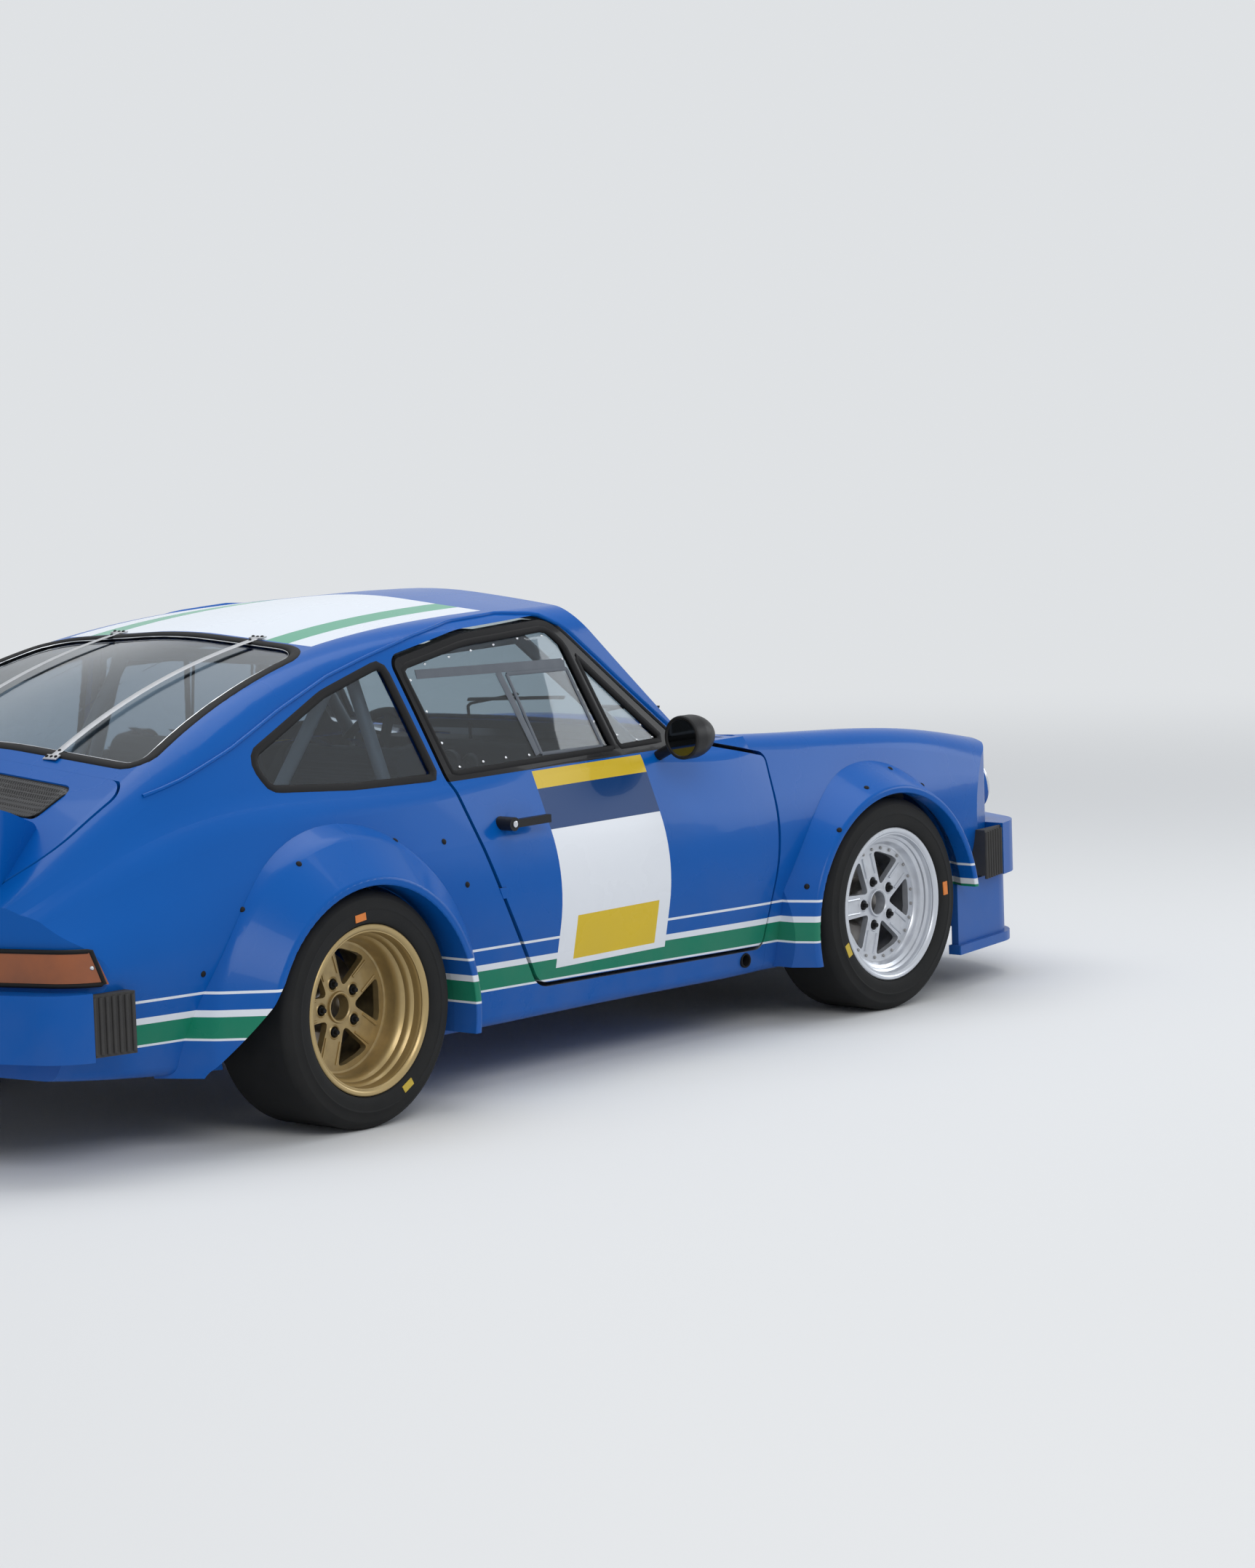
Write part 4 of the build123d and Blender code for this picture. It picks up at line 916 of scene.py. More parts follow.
def roundedPoints(corners, radius, steps=5):
    # each corner as a short curve between points set back along its two sides
    run = []
    for i, here in enumerate(corners):
        p = Vector((*here, 0))
        a = Vector((*corners[i - 1], 0)) - p
        b = Vector((*corners[(i + 1) % len(corners)], 0)) - p
        back = min(radius / tan(a.angle(b) / 2), 0.48 * a.length, 0.48 * b.length)
        start, stop = p + a.normalized() * back, p + b.normalized() * back
        for k in range(steps + 1):
            t = k / steps
            q = start * (1 - t) ** 2 + p * 2 * t * (1 - t) + stop * t * t
            run.append((q.x, q.y))
    return run


def makeRim(name, w, sign, body):
    # barrel in steps down to a pierced plate with five spokes
    dish, width, s = w["dish"], w["width"], wheelShape
    drop = dish - 0.02
    steps = [(0.2055, 0.0), (0.2045, 0.10), (0.2025, 0.22), (0.1975, 0.27), (0.1945, 0.32), (0.1935, 0.45),
             (0.1885, 0.50), (0.1835, 0.56), (0.1800, 0.72), (0.1772, 0.93), (0.1745, 0.985), (0.1690, 1.0)]
    outer = [(0.206, -0.0135), (0.226, -0.0135), (0.2263, -0.0090), (0.2236, -0.0070), (0.2170, -0.0068),
             (0.2128, -0.0090), (0.2085, -0.0140)] + [(r, -0.018 - drop * t) for r, t in steps]
    outer += [(0.1690, -dish - 0.030), (0.1880, -dish - 0.044), (0.1960, -width + 0.020),
              (0.2120, -width + 0.010), (0.226, -width + 0.008), (0.226, -width + 0.0138),
              (0.206, -width + 0.0138), (0.202, -width + 0.03), (0.1985, -dish - 0.052),
              (0.1985, -0.054), (0.206, -0.044), (0.206, -0.0135)]
    place = Vector((w["x"], w["face"] * sign, s["centreZ"]))
    face = place + Vector((0, -sign * dish, 0))
    axis = Vector((0, sign, 0))
    spokes = [radians(s["spokeAngle"] + 72 * k) for k in range(s["spokes"])]
    bm = bmesh.new()
    spinProfile(bm, outer, place, axis, s["segments"], (0, 0, 1))
    loops = [ringPoints(s["plateRadius"], 96), ringPoints(s["bore"], 40)]
    half, reach = s["windowHalf"], w["windowEdge"]
    window = [(0, s["windowTip"]), (half, reach), (half * 0.5, reach + 0.006), (-half * 0.5, reach + 0.006),
              (-half, reach)]
    for k, spoke in enumerate(spokes):
        centre = (s["boltCircle"] * sin(spoke), s["boltCircle"] * cos(spoke))
        loops.append(ringPoints(s["boltHole"], 18, centre))
        gap = radians(s["spokeAngle"] + 36 + 72 * k)
        turned = [(x * cos(gap) + z * sin(gap), -x * sin(gap) + z * cos(gap)) for x, z in window]
        loops.append(roundedPoints(turned, w["windowRound"]))
    edges, fresh = [], []
    for loop in loops:
        verts = [bm.verts.new((x, 0, z)) for x, z in loop]
        fresh += verts
        edges += [bm.edges.new((verts[i - 1], verts[i])) for i in range(len(verts))]
    filled = bmesh.ops.triangle_fill(bm, use_beauty=True, edges=edges)
    faces = [g for g in filled["geom"] if isinstance(g, bmesh.types.BMFace)]
    grown = bmesh.ops.extrude_face_region(bm, geom=faces)
    down = [g for g in grown["geom"] if isinstance(g, bmesh.types.BMVert)]
    bmesh.ops.translate(bm, verts=down, vec=(0, -s["plateDepth"], 0))
    for v in fresh + down:
        v.co = place + Vector((v.co.x, sign * (v.co.y - dish + 0.001), v.co.z))
    b = s["bore"]
    hub = [(b - 0.001, -dish - 0.030), (b - 0.001, -dish + 0.004), (b + 0.002, -dish + 0.007),
           (b + 0.006, -dish + 0.007), (b + 0.008, -dish + 0.002), (b + 0.008, -dish - 0.030)]
    spinProfile(bm, hub, place, axis, 60, (0, 0, 1))
    h = s["boltHole"]
    collar = [(h, -0.019), (h, 0.002), (h + 0.002, 0.0035), (h + 0.005, 0.001), (h + 0.005, -0.004)]
    for spoke in spokes:
        out, side = Vector((sin(spoke), 0, cos(spoke))), Vector((cos(spoke), 0, -sin(spoke)))
        spinProfile(bm, collar, face + out * s["boltCircle"], axis, 20, (0, 0, 1))
        for edge in (-1, 1):
            base = place + side * edge * w["rib"] + axis * (0.001 - dish)
            sweepRings(bm, [base + out * r for r in s["spokeReach"]], [axis] * 4, 0.0075, 0.009, False, 8)
    piece = newPiece(name, bm, w["metal"], body, sharp=32)
    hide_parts(name.replace("turnedRim_", "rim_"))
    edge = piece.modifiers.new("edge", "BEVEL")
    edge.width, edge.segments, edge.limit_method, edge.angle_limit = 0.0012, 2, "ANGLE", radians(50)
    nutBm = bmesh.new()
    for spoke in spokes:
        spot = face + Vector((sin(spoke), 0, cos(spoke))) * s["boltCircle"]
        roundBar(nutBm, spot - axis * 0.018, spot + axis * 0.004, 0.0115, 6, 0.002)
        roundBar(nutBm, spot, spot + axis * 0.015, 0.0065, 14, 0.001)
    newPiece(name.replace("turnedRim_", "wheelNuts_"), nutBm, softBlack, body)
    if w["ringBolts"]:
        boltBm = bmesh.new()
        for k in range(w["ringBolts"]):
            a = 2 * pi * (k + 0.5) / w["ringBolts"]
            spot = face + Vector((sin(a), 0, cos(a))) * s["ringBoltCircle"]
            roundBar(boltBm, spot - axis * 0.004, spot + axis * 0.005, 0.0048, 6, 0.0008)
        newPiece(name.replace("turnedRim_", "ringBolts_"), boltBm, castAlloy, body)
    return piece


for end, w in wheelSets.items():
    for side, sign in sides:
        makeTyre(f"tyreRing_{end}_{side}", w, sign, f"wheel_{end}_{side}")
        makeRim(f"turnedRim_{end}_{side}", w, sign, f"wheel_{end}_{side}")
print("wheels ready")


# coloured patches on the tyres' side walls

patches = dict(
    radius=0.250, length=0.040, height=0.020, thick=0.0016, sink=0.0006,
    marks=dict(rear=((-7, amberPatch), (150, yellowPatch)), front=((86, amberPatch), (244, yellowPatch))),
)
for end, w in wheelSets.items():
    for side, sign in sides:
        face = Vector((w["x"], (w["face"] - patches["sink"]) * sign, wheelShape["centreZ"]))
        for k, (angle, colour) in enumerate(patches["marks"][end]):
            bm = bmesh.new()
            out = Vector((sin(radians(angle)), 0, cos(radians(angle))))
            turn = frameAt(face + out * patches["radius"], Vector((0, sign, 0)), out)
            softBlock(bm, turn, (patches["length"], patches["thick"] * 2, patches["height"]), 0.0006, 1)
            newPiece(f"tyrePatch_{end}_{side}_{k}", bm, colour, f"wheel_{end}_{side}")


# bellows at the bumpers' corners: upright ribs over the plain solids

bellowsRibs = dict(
    count=7, width=0.0105, proud=0.006, probeZ=0.40, steps=(0.02, 0.2, 0.5, 0.8, 0.98),
    front=dict(x=(1.738, 1.862), z=(0.322, 0.470)), rear=dict(x=(-1.945, -1.836), z=(0.314, 0.464)),
)
bellowsSurface = surfaceOf("bumper_bellows")
ribBm = bmesh.new()
for side, sign in sides:
    for key in ("front", "rear"):
        (start, stop), (low, high) = bellowsRibs[key]["x"], bellowsRibs[key]["z"]
        for i in range(bellowsRibs["count"]):
            x = start + (stop - start) * i / (bellowsRibs["count"] - 1)
            hit = sideRay(x, bellowsRibs["probeZ"], sign, bellowsSurface)
            if not hit:
                continue
            out = Vector((hit[1].x, hit[1].y, 0)).normalized()
            heights = [low + (high - low) * t for t in bellowsRibs["steps"]]
            path = [Vector((hit[0].x, hit[0].y, z)) + out * 0.001 for z in heights]
            sweepHits(ribBm, [(p, out) for p in path], bellowsRibs["width"], bellowsRibs["proud"] * 2)
newPiece("bellowsRibs", ribBm, bellowsRubber, "body", sharp=60)
print("patches and bellows ready")


# tail lamps: lenses with slanted outer ends, rubber surround and screws

tailTrim = dict(border=0.012, proud=0.010, screw=0.006, screwX=-1.928, screwY=0.47, slant=0.036,
                endFrom=0.345, endStep=0.02, sideFrom=-1.985, sideStep=0.007)
lampSurface = surfaceOf("tail_lamps")
lampLow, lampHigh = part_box("tail_lamps")
lensBm = bmesh.new()
lensBm.from_mesh(nodes["tail_lamps"].data)
bmesh.ops.remove_doubles(lensBm, verts=lensBm.verts, dist=2e-5)
cutLens = bmesh.ops.bisect_plane(
    lensBm, geom=lensBm.verts[:] + lensBm.edges[:] + lensBm.faces[:], dist=1e-6,
    plane_co=(lampHigh.x - 0.002, 0, lampLow.z),
    plane_no=Vector((lampHigh.z - lampLow.z, 0, tailTrim["slant"])).normalized(), clear_outer=True)
cutEdges = [e for e in cutLens["geom_cut"] if isinstance(e, bmesh.types.BMEdge)]
bmesh.ops.triangle_fill(lensBm, use_beauty=True, edges=cutEdges)
bmesh.ops.recalc_face_normals(lensBm, faces=lensBm.faces)
lenses = newPiece("tailLenses", lensBm, amberLens, "body", sharp=30)
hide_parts("tail_lamps")

surroundBm, screwBm = bmesh.new(), bmesh.new()
lampMiddle = 0.5 * (lampLow.z + lampHigh.z)


def rearRay(y, z, tree):
    return touch(tree, (-2.6, y, z), (1, 0, 0))


for side, sign in sides:
    t = tailTrim
    run = [rearRay((t["endFrom"] + t["endStep"] * i) * sign, lampMiddle, lampSurface) for i in range(19)]
    run += [sideRay(t["sideFrom"] + t["sideStep"] * i, lampMiddle, sign, lampSurface) for i in range(13)]
    run = [hit for hit in run if hit]
    flat = [Vector((h[1].x, h[1].y, 0)).normalized() for h in run]
    upper = [(Vector((h[0].x, h[0].y, lampHigh.z - 0.001)), n) for h, n in zip(run, flat)
             if h[0].x < lampHigh.x - tailTrim["slant"]]
    lower = [(Vector((h[0].x, h[0].y, lampLow.z + 0.001)), n) for h, n in zip(run, flat)]
    sweepHits(surroundBm, upper + lower[::-1], tailTrim["border"], tailTrim["proud"])
    for hit in (sideRay(t["screwX"], lampMiddle, sign, lampSurface),
                rearRay(t["screwY"] * sign, lampMiddle, lampSurface)):
        if hit:
            dome(screwBm, hit[0], hit[1], tailTrim["screw"], 0.003)
newPiece("tailLampSurrounds", surroundBm, softBlack, "body", sharp=60)
newPiece("tailLampScrews", screwBm, brightSteel, "body")


# door handles: dish and lock; mirrors: glass and rim

handleTrim = dict(x=-0.392, z=0.728, dish=0.033, dishPlace=(-0.337, 0.724), lock=0.009)
for side, sign in sides:
    doorSurface = surfaceOf(f"door_{side}")
    bm = bmesh.new()
    hit = sideRay(*handleTrim["dishPlace"], sign, doorSurface)
    turn = hit[1].to_track_quat("Z", "Y").to_matrix().to_4x4()
    turn.translation = hit[0]
    ring = bmesh.ops.create_circle(bm, segments=40, radius=handleTrim["dish"], cap_ends=True, matrix=turn)
    faces = list({f for v in ring["verts"] for f in v.link_faces})
    bmesh.ops.inset_region(bm, faces=faces, thickness=0.004, depth=0.0016)
    bmesh.ops.inset_region(bm, faces=faces, thickness=0.010, depth=-0.0012)
    bmesh.ops.translate(bm, verts=bm.verts[:], vec=hit[1] * 0.0006)
    newPiece(f"handleDish_{side}", bm, plainPaint, f"door_{side}")
    bm = bmesh.new()
    lock = sideRay(handleTrim["x"], handleTrim["z"], sign, surfaceOf(f"door_handle_{side}"))
    roundBar(bm, lock[0], lock[0] + Vector((0, 0.004 * sign, 0)), handleTrim["lock"], 20, 0.001)
    newPiece(f"doorLock_{side}", bm, brightSteel, f"door_{side}")

mirrorTrim = dict(
    centre=(0.280, 0.852, 0.900), glass=((0.0005, -0.0012), (0.0525, -0.0012)),
    rim=((0.0515, -0.0008), (0.0535, -0.0045), (0.058, -0.0052), (0.0615, -0.003), (0.0622, 0.006)),
)
for side, sign in sides:
    x, y, z = mirrorTrim["centre"]
    for key, name, material in (("glass", "mirrorGlass", mirrorGlass), ("rim", "mirrorRim", blackPlastic)):
        bm = bmesh.new()
        spinProfile(bm, mirrorTrim[key], Vector((x, y * sign, z)), (1, 0, 0), 48, (0, 0, 1))
        newPiece(f"{name}_{side}", bm, material, f"door_{side}")


# headlamps: bright ring round the glass

headTrim = dict(
    centre=(1.9415, 0.574, 0.598), tilt=radians(18), ring=0.107,
    profile=((-0.018, 0.001), (-0.016, 0.007), (-0.008, 0.0085), (-0.001, 0.005), (0.001, -0.004),
             (-0.002, -0.008), (-0.016, -0.006), (-0.018, 0.001)),
)
lampAxis = Vector((cos(headTrim["tilt"]), 0, sin(headTrim["tilt"])))
lampUp = Vector((-sin(headTrim["tilt"]), 0, cos(headTrim["tilt"])))
trimBm = bmesh.new()
for side, sign in sides:
    x, y, z = headTrim["centre"]
    profile = [(headTrim["ring"] + r, t) for r, t in headTrim["profile"]]
    spinProfile(trimBm, profile, Vector((x, y * sign, z)), lampAxis, 72, lampUp)
newPiece("headlampRings", trimBm, brightSteel, "body")
print("lamps and mirrors ready")


# wipers at the foot of the windscreen

wiperSet = dict(
    pivots=((0.600, 0.30), (0.610, -0.24)), footAhead=0.09,
    arm=0.30, armSteps=4, armFrom=0.905, armRise=0.055,
    bladeHalf=0.20, bladeSteps=12, bladeFrom=0.942, bladeRise=0.022,
    cap=((0.0005, 0.012), (0.008, 0.012), (0.012, 0.006), (0.012, -0.008), (0.0005, -0.008)),
)
screenSurface = surfaceOf("windscreen", "body_shell")


def onScreen(y, z, lift):
    hit = touch(screenSurface, (1.4, y, z), (-1, 0, 0))
    return (hit[0] + hit[1] * lift, hit[1]) if hit else None


wiperBm = bmesh.new()
for px, py in wiperSet["pivots"]:
    w = wiperSet
    foot = touch(screenSurface, (px + w["footAhead"], py, 1.6), (0, 0, -1))
    steps = [i / w["armSteps"] for i in range(w["armSteps"] + 1)]
    arm = [onScreen(py - w["arm"] * t, w["armFrom"] + w["armRise"] * t, 0.017) for t in steps]
    arm = [h for h in arm if h]
    if foot and len(arm) > 2:
        start = foot[0] + Vector((0, 0, 0.008))
        path = evenPath([start] + [h[0] for h in arm[1:]], 0.02)
        sweepRings(wiperBm, path, [Vector((0.6, 0, 0.8))] * len(path), 0.011, 0.006, False, 6)
        spinProfile(wiperBm, w["cap"], start, (0, 0, 1), 16, (1, 0, 0))
    top, count = py - w["arm"] + w["bladeHalf"], w["bladeSteps"]
    blade = [onScreen(top - 2 * w["bladeHalf"] * i / count, w["bladeFrom"] + w["bladeRise"] * i / count,
                      0.008) for i in range(count + 1)]
    blade = [h for h in blade if h]
    if len(blade) > 3:
        sweepHits(wiperBm, blade, 0.007, 0.014, 6)
newPiece("wipers", wiperBm, softBlack, "body")
print("wipers ready")


# seat pads: crowned, with sewn channels, lying in the bucket seats

pads = dict(
    seatY=0.345, rows=15, channelDepth=0.008,
    base=dict(path=((-0.268, 0.3115), (-0.10, 0.3165), (0.06, 0.3225), (0.150, 0.3255)),
              wide=(0.300, 0.330, 0.335, 0.300), thick=0.048, channels=3),
    back=dict(path=((-0.318, 0.378), (-0.392, 0.478), (-0.452, 0.572), (-0.484, 0.700), (-0.521, 0.885)),
              wide=(0.300, 0.325, 0.325, 0.310, 0.250), thick=0.040, channels=4),
)


def along(values, t):
    spot = t * (len(values) - 1)
    i = min(int(spot), len(values) - 2)
    return values[i] + (values[i + 1] - values[i]) * (spot - i)


def roundFall(x):
    return max(1 - x * x, 0.0)


def sewnPad(name, form, sign):
    bm = bmesh.new()
    pts = evenPath(upright(*form["path"]), 0.012)
    n, rows = len(pts), pads["rows"]
    top, bottom = [], []
    for i, p in enumerate(pts):
        t = i / (n - 1)
        run = (pts[min(i + 1, n - 1)] - pts[max(i - 1, 0)]).normalized()
        up = Vector((-run.z, 0, run.x)) if form is pads["base"] else Vector((-run.z, 0, run.x)) * -1
        ends = min(1.0, min(t, 1 - t) * 9)
        endCrown = sqrt(max(1 - (1 - ends) ** 2, 0))
        rib = abs(sin(pi * t * form["channels"]))
        topRow, bottomRow = [], []
        for k in range(rows):
            u = -1 + 2 * k / (rows - 1)
            pull = 1 - 0.05 * (1 - rib) * abs(u)
            across = Vector((0, u * along(form["wide"], t) / 2 * pull, 0))
            crown = sqrt(max(1 - abs(u) ** 5, 0.0)) * endCrown
            groove = pads["channelDepth"] * (1 - min(rib * 3.2, 1)) * (1 if abs(u) < 0.72 else 0)
            seam = 0.006 * roundFall((abs(u) - 0.74) / 0.05)
            height = max(form["thick"] * (0.72 + 0.28 * (1 - u * u)) * crown - groove - seam, 0.0)
            centre = p + across + Vector((0, pads["seatY"] * sign, 0))
            topRow.append(bm.verts.new(centre + up * (0.010 + height)))
            bottomRow.append(bm.verts.new(centre + up * 0.001))
        top.append(topRow)
        bottom.append(bottomRow)
    for grid in (top, bottom):
        for a, b in zip(grid, grid[1:]):
            for k in range(rows - 1):
                bm.faces.new((a[k], a[k + 1], b[k + 1], b[k]))
    for i in range(n - 1):
        for k in (0, rows - 1):
            bm.faces.new((top[i][k], top[i + 1][k], bottom[i + 1][k], bottom[i][k]))
    for i in (0, n - 1):
        for k in range(rows - 1):
            bm.faces.new((top[i][k], top[i][k + 1], bottom[i][k + 1], bottom[i][k]))
    piece = newPiece(name, bm, seatCloth, "body", sharp=180)
    smooth = piece.modifiers.new("smooth", "SUBSURF")
    smooth.levels = smooth.render_levels = 1
    return piece


# harness straps over the pads: two at the shoulders and two at the lap

belts = dict(
    width=0.046, thick=0.003, step=0.02, shoulder=0.085, narrowing=0.62,
    path=((-0.612, 0.965), (-0.560, 0.940), (-0.500, 0.905), (-0.440, 0.740), (-0.398, 0.600),
          (-0.330, 0.500), (-0.235, 0.430), (-0.150, 0.400)),
    lap=((-0.255, 0.168, 0.385), (-0.205, 0.13, 0.408), (-0.160, 0.07, 0.406), (-0.148, 0.02, 0.398)),
    buckle=((0.0005, 0.012), (0.020, 0.012), (0.027, 0.008), (0.029, 0.0), (0.027, -0.006), (0.0005, -0.006)),
)
for side, sign in sides:
    sewnPad(f"seatBasePad_{side}", pads["base"], sign)
    sewnPad(f"seatBackPad_{side}", pads["back"], sign)
    bm = bmesh.new()
    centre = pads["seatY"] * sign
    for edge in (-1, 1):
        line = []
        for i, (x, z) in enumerate(belts["path"]):
            inward = 1 - belts["narrowing"] * i / (len(belts["path"]) - 1)
            line.append(Vector((x, centre + edge * belts["shoulder"] * inward, z)))
        line = evenPath(line, belts["step"])
        ups = []
        for i in range(len(line)):
            run = line[min(i + 1, len(line) - 1)] - line[max(i - 1, 0)]
            ups.append(Vector((-run.z, 0, run.x)).normalized() * (-1 if run.z < 0 else 1))
        sweepRings(bm, line, ups, belts["width"], belts["thick"], False, 8)
        lap = evenPath([Vector((x, centre + edge * y, z)) for x, y, z in belts["lap"]], belts["step"])
        sweepRings(bm, lap, [Vector((0.55, 0, 0.83))] * len(lap), belts["width"], belts["thick"], False, 8)
    newPiece(f"harness_{side}", bm, beltWebbing, "body", sharp=70)
    bm = bmesh.new()
    axis = Vector((0.5, 0, 0.866)).normalized()
    spinProfile(bm, belts["buckle"], Vector((-0.150, centre, 0.404)), axis, 28, Vector((0.866, 0, -0.5)))
    newPiece(f"harnessBuckle_{side}", bm, castAlloy, "body")
print("seats ready")


# instruments, gear lever and pedals

dashTrim = dict(
    dials=((0.345, 0.757, 0.052), (0.452, 0.757, 0.040), (0.238, 0.757, 0.040), (0.535, 0.757, 0.032),
           (0.155, 0.757, 0.032)),
    ring=((-0.006, 0.001), (-0.004, 0.008), (0, 0.009), (0.002, 0.004), (0.002, -0.004)),
)
dashSurface = surfaceOf("dashboard")
ringBm, dialBm = bmesh.new(), bmesh.new()
for y, z, radius in dashTrim["dials"]:
    hit = touch(dashSurface, (0.2, y, z), (1, 0, 0))
    if not hit:
        continue
    spinProfile(ringBm, [(radius + r, t) for r, t in dashTrim["ring"]], hit[0], (-1, 0, 0), 40, (0, 0, 1))
    face = [(0.0005, 0.002), (radius - 0.005, 0.002), (radius - 0.005, -0.003)]
    spinProfile(dialBm, face, hit[0], (-1, 0, 0), 40, (0, 0, 1))
    pivot, tip = Vector((-0.004, 0, -0.004)), Vector((-0.004, radius * 0.45, radius * 0.5))
    roundBar(ringBm, hit[0] + pivot, hit[0] + tip, 0.0012, 6)
newPiece("dialRings", ringBm, darkSteel, "body")
newPiece("dialFaces", dialBm, dialFace, "body")

lever = dict(
    path=((0.115, 0.192), (0.120, 0.27), (0.110, 0.36), (0.085, 0.455)), width=0.012,
    boot=((0.034, 0.0), (0.036, 0.010), (0.028, 0.030), (0.020, 0.045), (0.014, 0.062), (0.007, 0.066)),
    knob=((0.0005, -0.024), (0.012, -0.020), (0.019, -0.004), (0.020, 0.008), (0.014, 0.020),
          (0.0005, 0.024)),
)
bm = bmesh.new()
path = evenPath(upright(*lever["path"]), 0.02)
sweepRings(bm, path, [Vector((1, 0, 0.1))] * len(path), lever["width"], lever["width"], False, 12)
spinProfile(bm, lever["boot"], (0.115, 0, 0.192), (0, 0, 1), 28, (1, 0, 0))
spinProfile(bm, lever["knob"], (0.083, 0, 0.465), (0, 0, 1), 24, (1, 0, 0))
newPiece("gearLever", bm, softBlack, "body")
bm = bmesh.new()
for y in (0.235, 0.335, 0.435):
    turn = frameAt(Vector((0.600, y, 0.335)), Vector((-0.82, 0, 0.57)), Vector((0, 1, 0)))
    softBlock(bm, turn, (0.075, 0.010, 0.055), 0.003)
    roundBar(bm, (0.604, y, 0.330), (0.672, y, 0.196), 0.007, 10)
newPiece("pedals", bm, castAlloy, "body")


# steering wheel: centre boss with bolts, and stitches round the rim

wheelTrim = dict(
    tilt=radians(20), hub=(0.300, 0.345, 0.760), bolts=6, boltCircle=0.034, stitches=72, stitchCircle=0.1595,
    boss=((0.0005, 0.016), (0.020, 0.015), (0.026, 0.011), (0.041, 0.011), (0.0435, 0.008), (0.0435, -0.004)),
)
wheelAxis = Vector((-cos(wheelTrim["tilt"]), 0, sin(wheelTrim["tilt"])))
wheelUp = Vector((sin(wheelTrim["tilt"]), 0, cos(wheelTrim["tilt"])))
wheelSide = Vector((0, 1, 0))
wheelHub = Vector(wheelTrim["hub"])
bm = bmesh.new()
spinProfile(bm, wheelTrim["boss"], wheelHub, wheelAxis, 40, wheelUp)
for k in range(wheelTrim["bolts"]):
    a = 2 * pi * k / wheelTrim["bolts"]
    spot = wheelHub + (wheelUp * cos(a) + wheelSide * sin(a)) * wheelTrim["boltCircle"] + wheelAxis * 0.011
    roundBar(bm, spot, spot + wheelAxis * 0.003, 0.0035, 6, 0.0006)
newPiece("steeringBoss", bm, castAlloy, "steering_wheel")
bm = bmesh.new()
for k in range(wheelTrim["stitches"]):
    a = 2 * pi * k / wheelTrim["stitches"]
    radial = wheelUp * cos(a) + wheelSide * sin(a)
    tangent = wheelUp * -sin(a) + wheelSide * cos(a)
    spot = wheelHub + radial * wheelTrim["stitchCircle"] + wheelAxis * -0.0072
    roundBar(bm, spot - tangent * 0.003, spot + tangent * 0.003 + radial * 0.0025, 0.0009, 6)
newPiece("rimStitches", bm, castAlloy, "steering_wheel")
print("cabin ready")


# bumper strips, blank plates and front indicators

bumperTrim = dict(
    front=dict(node="front_bumper", sign=1, z=0.438, half=0.700, plateZ=0.345),
    rear=dict(node="rear_bumper", sign=-1, z=0.478, half=0.780, plateZ=0.400),
    step=0.02, strip=(0.030, 0.014), lift=0.0015, plate=(0.105, 0.004, 0.440), screwY=0.17,
)


def endHits(tree, ys, z, sign):
    hits = [touch(tree, (3.0 * sign, y, z), (-sign, 0, 0)) for y in ys]
    return [h for h in hits if h]


for key in ("front", "rear"):
    t = bumperTrim[key]
    sign, tree = t["sign"], surfaceOf(t["node"])
    ys = [-t["half"] + bumperTrim["step"] * i for i in range(int(2 * t["half"] / bumperTrim["step"]) + 1)]
    run = [(place + normal * bumperTrim["lift"], normal) for place, normal in endHits(tree, ys, t["z"], sign)]
    if len(run) > 5:
        bm = bmesh.new()
        sweepHits(bm, run, *bumperTrim["strip"], 10)
        newPiece(f"{key}BumperStrip", bm, softBlack, "body", sharp=60)
    for place, normal in endHits(tree, [0], t["plateZ"], sign):
        bm = bmesh.new()
        turn = frameAt(place + normal * 0.004, normal, Vector((0, 1, 0)))
        softBlock(bm, turn, bumperTrim["plate"], 0.0018)
        newPiece(f"{key}PlateBlank", bm, plateWhite, "body")
        bm = bmesh.new()
        for y in (-bumperTrim["screwY"], bumperTrim["screwY"]):
            dome(bm, place + Vector((sign * 0.0062, y, 0)), (sign, 0, 0), 0.006, 0.003)
        newPiece(f"{key}PlateScrews", bm, brightSteel, "body")

indicator = dict(reach=(0.455, 0.600), steps=8, z=0.400, height=0.042, proud=0.007)
frontTree = surfaceOf("front_bumper")
indicatorBm, indicatorRimBm = bmesh.new(), bmesh.new()
for side, sign in sides:
    (near, far), count = indicator["reach"], indicator["steps"]
    ys = [(near + (far - near) * i / count) * sign for i in range(count + 1)]
    run = endHits(frontTree, ys, indicator["z"], 1)
    if len(run) == len(ys):
        sweepHits(indicatorBm, run, indicator["height"], indicator["proud"] * 2, 10)
        half = Vector((0, 0, 0.5 * indicator["height"]))
        corners = [h[0] + half for h in run] + [h[0] - half for h in run[::-1]]
        sweepRings(indicatorRimBm, corners, [h[1] for h in run + run[::-1]], 0.006, 0.010, True, 8)
newPiece("frontIndicators", indicatorBm, amberLens, "body", sharp=40)
newPiece("frontIndicatorRims", indicatorRimBm, softBlack, "body", sharp=60)
print("bumpers ready")


# engine lid opening: fine black wire mesh laid over the slats

# dark is painted shade in the gaps between the wires, the shade beneath the mesh
wireMesh = dict(
    front=-1.6535, rear=-1.7745, frontHalf=0.437, rearHalf=0.408, corner=0.026, rows=22, columns=90,
    over=0.0030, pitch=0.0085, stretch=1.6, wire=0.34, dark=(0.006, 0.006, 0.007), lit=(0.030, 0.031, 0.033),
)
meshBlack = newMaterial("meshBlack", (0.010, 0.010, 0.011), 0.5, 0.3)
tree = meshBlack.node_tree
shader = tree.nodes["Principled BSDF"]


def wiresAlong(axis, pitch):
    return calc(tree, "LESS_THAN", calc(tree, "FRACT", calc(tree, "DIVIDE", axis, pitch)), wireMesh["wire"])


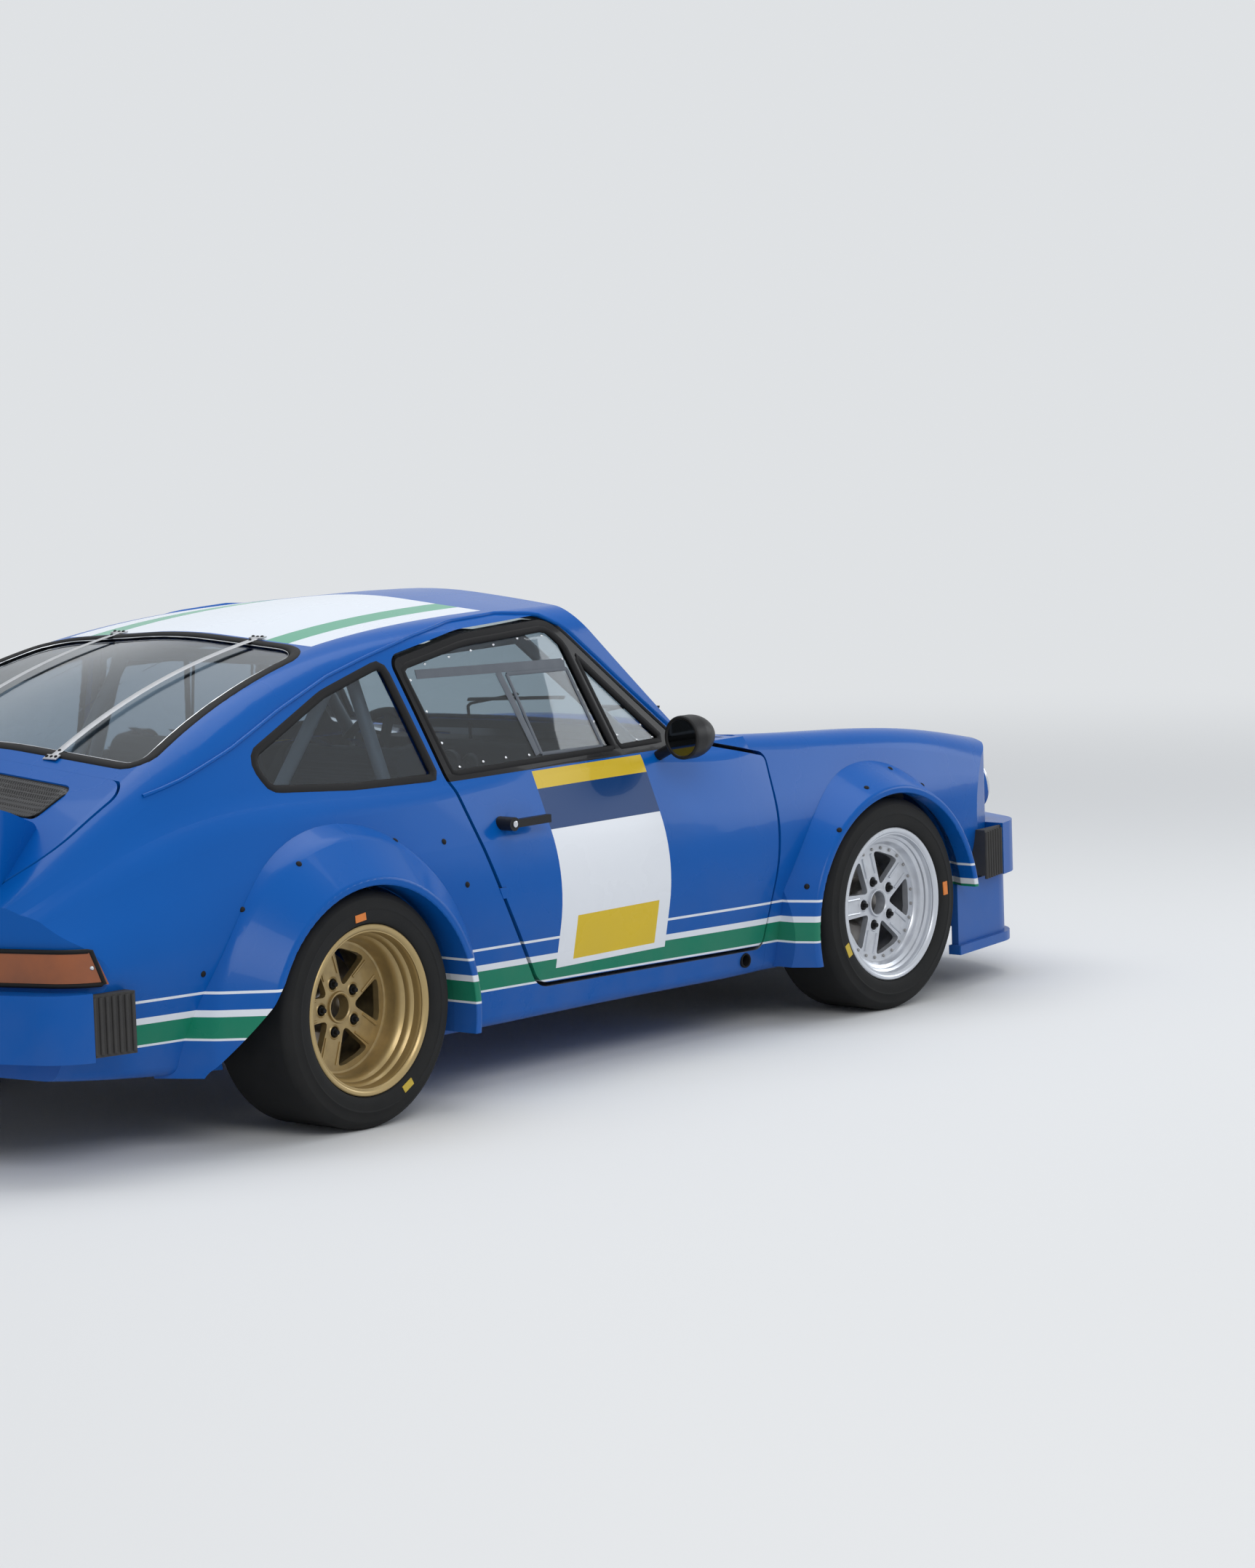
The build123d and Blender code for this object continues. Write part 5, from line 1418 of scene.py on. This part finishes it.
wireX, wireY = objectAxes(tree)[:2]
wires = calc(tree, "MAXIMUM", wiresAlong(wireY, wireMesh["pitch"]),
             wiresAlong(wireX, wireMesh["pitch"] * wireMesh["stretch"]))
# painted shade: the gaps between the wires get the nearly opaque dark colour in place of the shade beneath the
# mesh
link(tree, blendColours(tree, wires, wireMesh["dark"], wireMesh["lit"]), shader.inputs["Base Color"])
link(tree, calc(tree, "MULTIPLY_ADD", wires, 0.3, 0.7, clamp=True), shader.inputs["Alpha"])
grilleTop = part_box("engine_grille")[1].z
grilleSurface = surfaceOf("engine_grille")


def meshHeight(x, y):
    tops = []
    for i in range(-4, 5):
        hit = touch(grilleSurface, (x + 0.003 * i, y, 1.6), (0, 0, -1))
        if hit:
            tops.append(hit[0].z)
    return max(tops) if tops else None


bm = bmesh.new()
grid = []
for i in range(wireMesh["rows"] + 1):
    t = i / wireMesh["rows"]
    x = wireMesh["front"] + (wireMesh["rear"] - wireMesh["front"]) * t
    half = wireMesh["frontHalf"] + (wireMesh["rearHalf"] - wireMesh["frontHalf"]) * t
    edge = min(wireMesh["front"] - x, x - wireMesh["rear"])
    short = max(0.0, wireMesh["corner"] - edge)
    half -= wireMesh["corner"] - sqrt(wireMesh["corner"] ** 2 - short ** 2)
    row = []
    for k in range(wireMesh["columns"] + 1):
        y = half * (2 * k / wireMesh["columns"] - 1)
        row.append([x, y, meshHeight(x, y)])
    known = [p[2] for p in row if p[2] is not None]
    for p in row:
        if p[2] is None:
            p[2] = min(known) if known else grilleTop - 0.03
    for k in range(1, wireMesh["columns"]):
        row[k][2] = 0.25 * row[k - 1][2] + 0.5 * row[k][2] + 0.25 * row[k + 1][2]
    grid.append([bm.verts.new((p[0], p[1], p[2] + wireMesh["over"])) for p in row])
for lower, upper in zip(grid, grid[1:]):
    for k in range(wireMesh["columns"]):
        bm.faces.new((lower[k], lower[k + 1], upper[k + 1], upper[k]))
bmesh.ops.recalc_face_normals(bm, faces=bm.faces)
edgeRun = grid[0] + [r[-1] for r in grid[1:]] + grid[-1][-2::-1] + [r[0] for r in grid[-2:0:-1]]
edgeRun = evenPath([v.co.copy() for v in edgeRun], 0.012, True)
newPiece("grilleMesh", bm, meshBlack, "engine_lid", sharp=80)
rimBm = bmesh.new()
sweepRings(rimBm, edgeRun, [Vector((-0.2, 0, 1))] * len(edgeRun), 0.006, 0.005, True, 8)
newPiece("grilleRim", rimBm, softBlack, "engine_lid", sharp=60)


# exhaust tip: rolled edge and dark bore

exhaustEnd = dict(
    tip=(-2.122, 0.240, 0.150), soot=((0.0005, 0.052), (0.0255, 0.050), (0.0258, 0.004)),
    edge=((0.0262, 0.030), (0.0262, -0.001), (0.0275, -0.0028), (0.0300, -0.0030), (0.0312, -0.0012),
          (0.0306, 0.003)),
)
for key, name, material, steps in (("edge", "exhaustTip", pipeSteel, 40),
                                   ("soot", "exhaustSoot", softBlack, 32)):
    bm = bmesh.new()
    spinProfile(bm, exhaustEnd[key], Vector(exhaustEnd["tip"]), (1, 0, 0), steps, (0, 0, 1))
    newPiece(name, bm, material, "body")
print("exhaust ready")


# jack tube rings at the sills

jack = dict(x=0.640, z=0.215, radius=0.017, ring=(
    (-0.0004, -0.040), (-0.0004, 0.001), (0.001, 0.0024), (0.0035, 0.0024), (0.0045, 0.0004),
    (0.0045, -0.006)))
for side, sign in sides:
    hit = sideRay(jack["x"], jack["z"] + 0.024, sign, shellSurface)
    if hit:
        bm = bmesh.new()
        profile = [(jack["radius"] + r, t) for r, t in jack["ring"]]
        spinProfile(bm, profile, Vector((jack["x"], hit[0].y, jack["z"])), (0, sign, 0), 36, (0, 0, 1))
        newPiece(f"jackRing_{side}", bm, softBlack, "body")
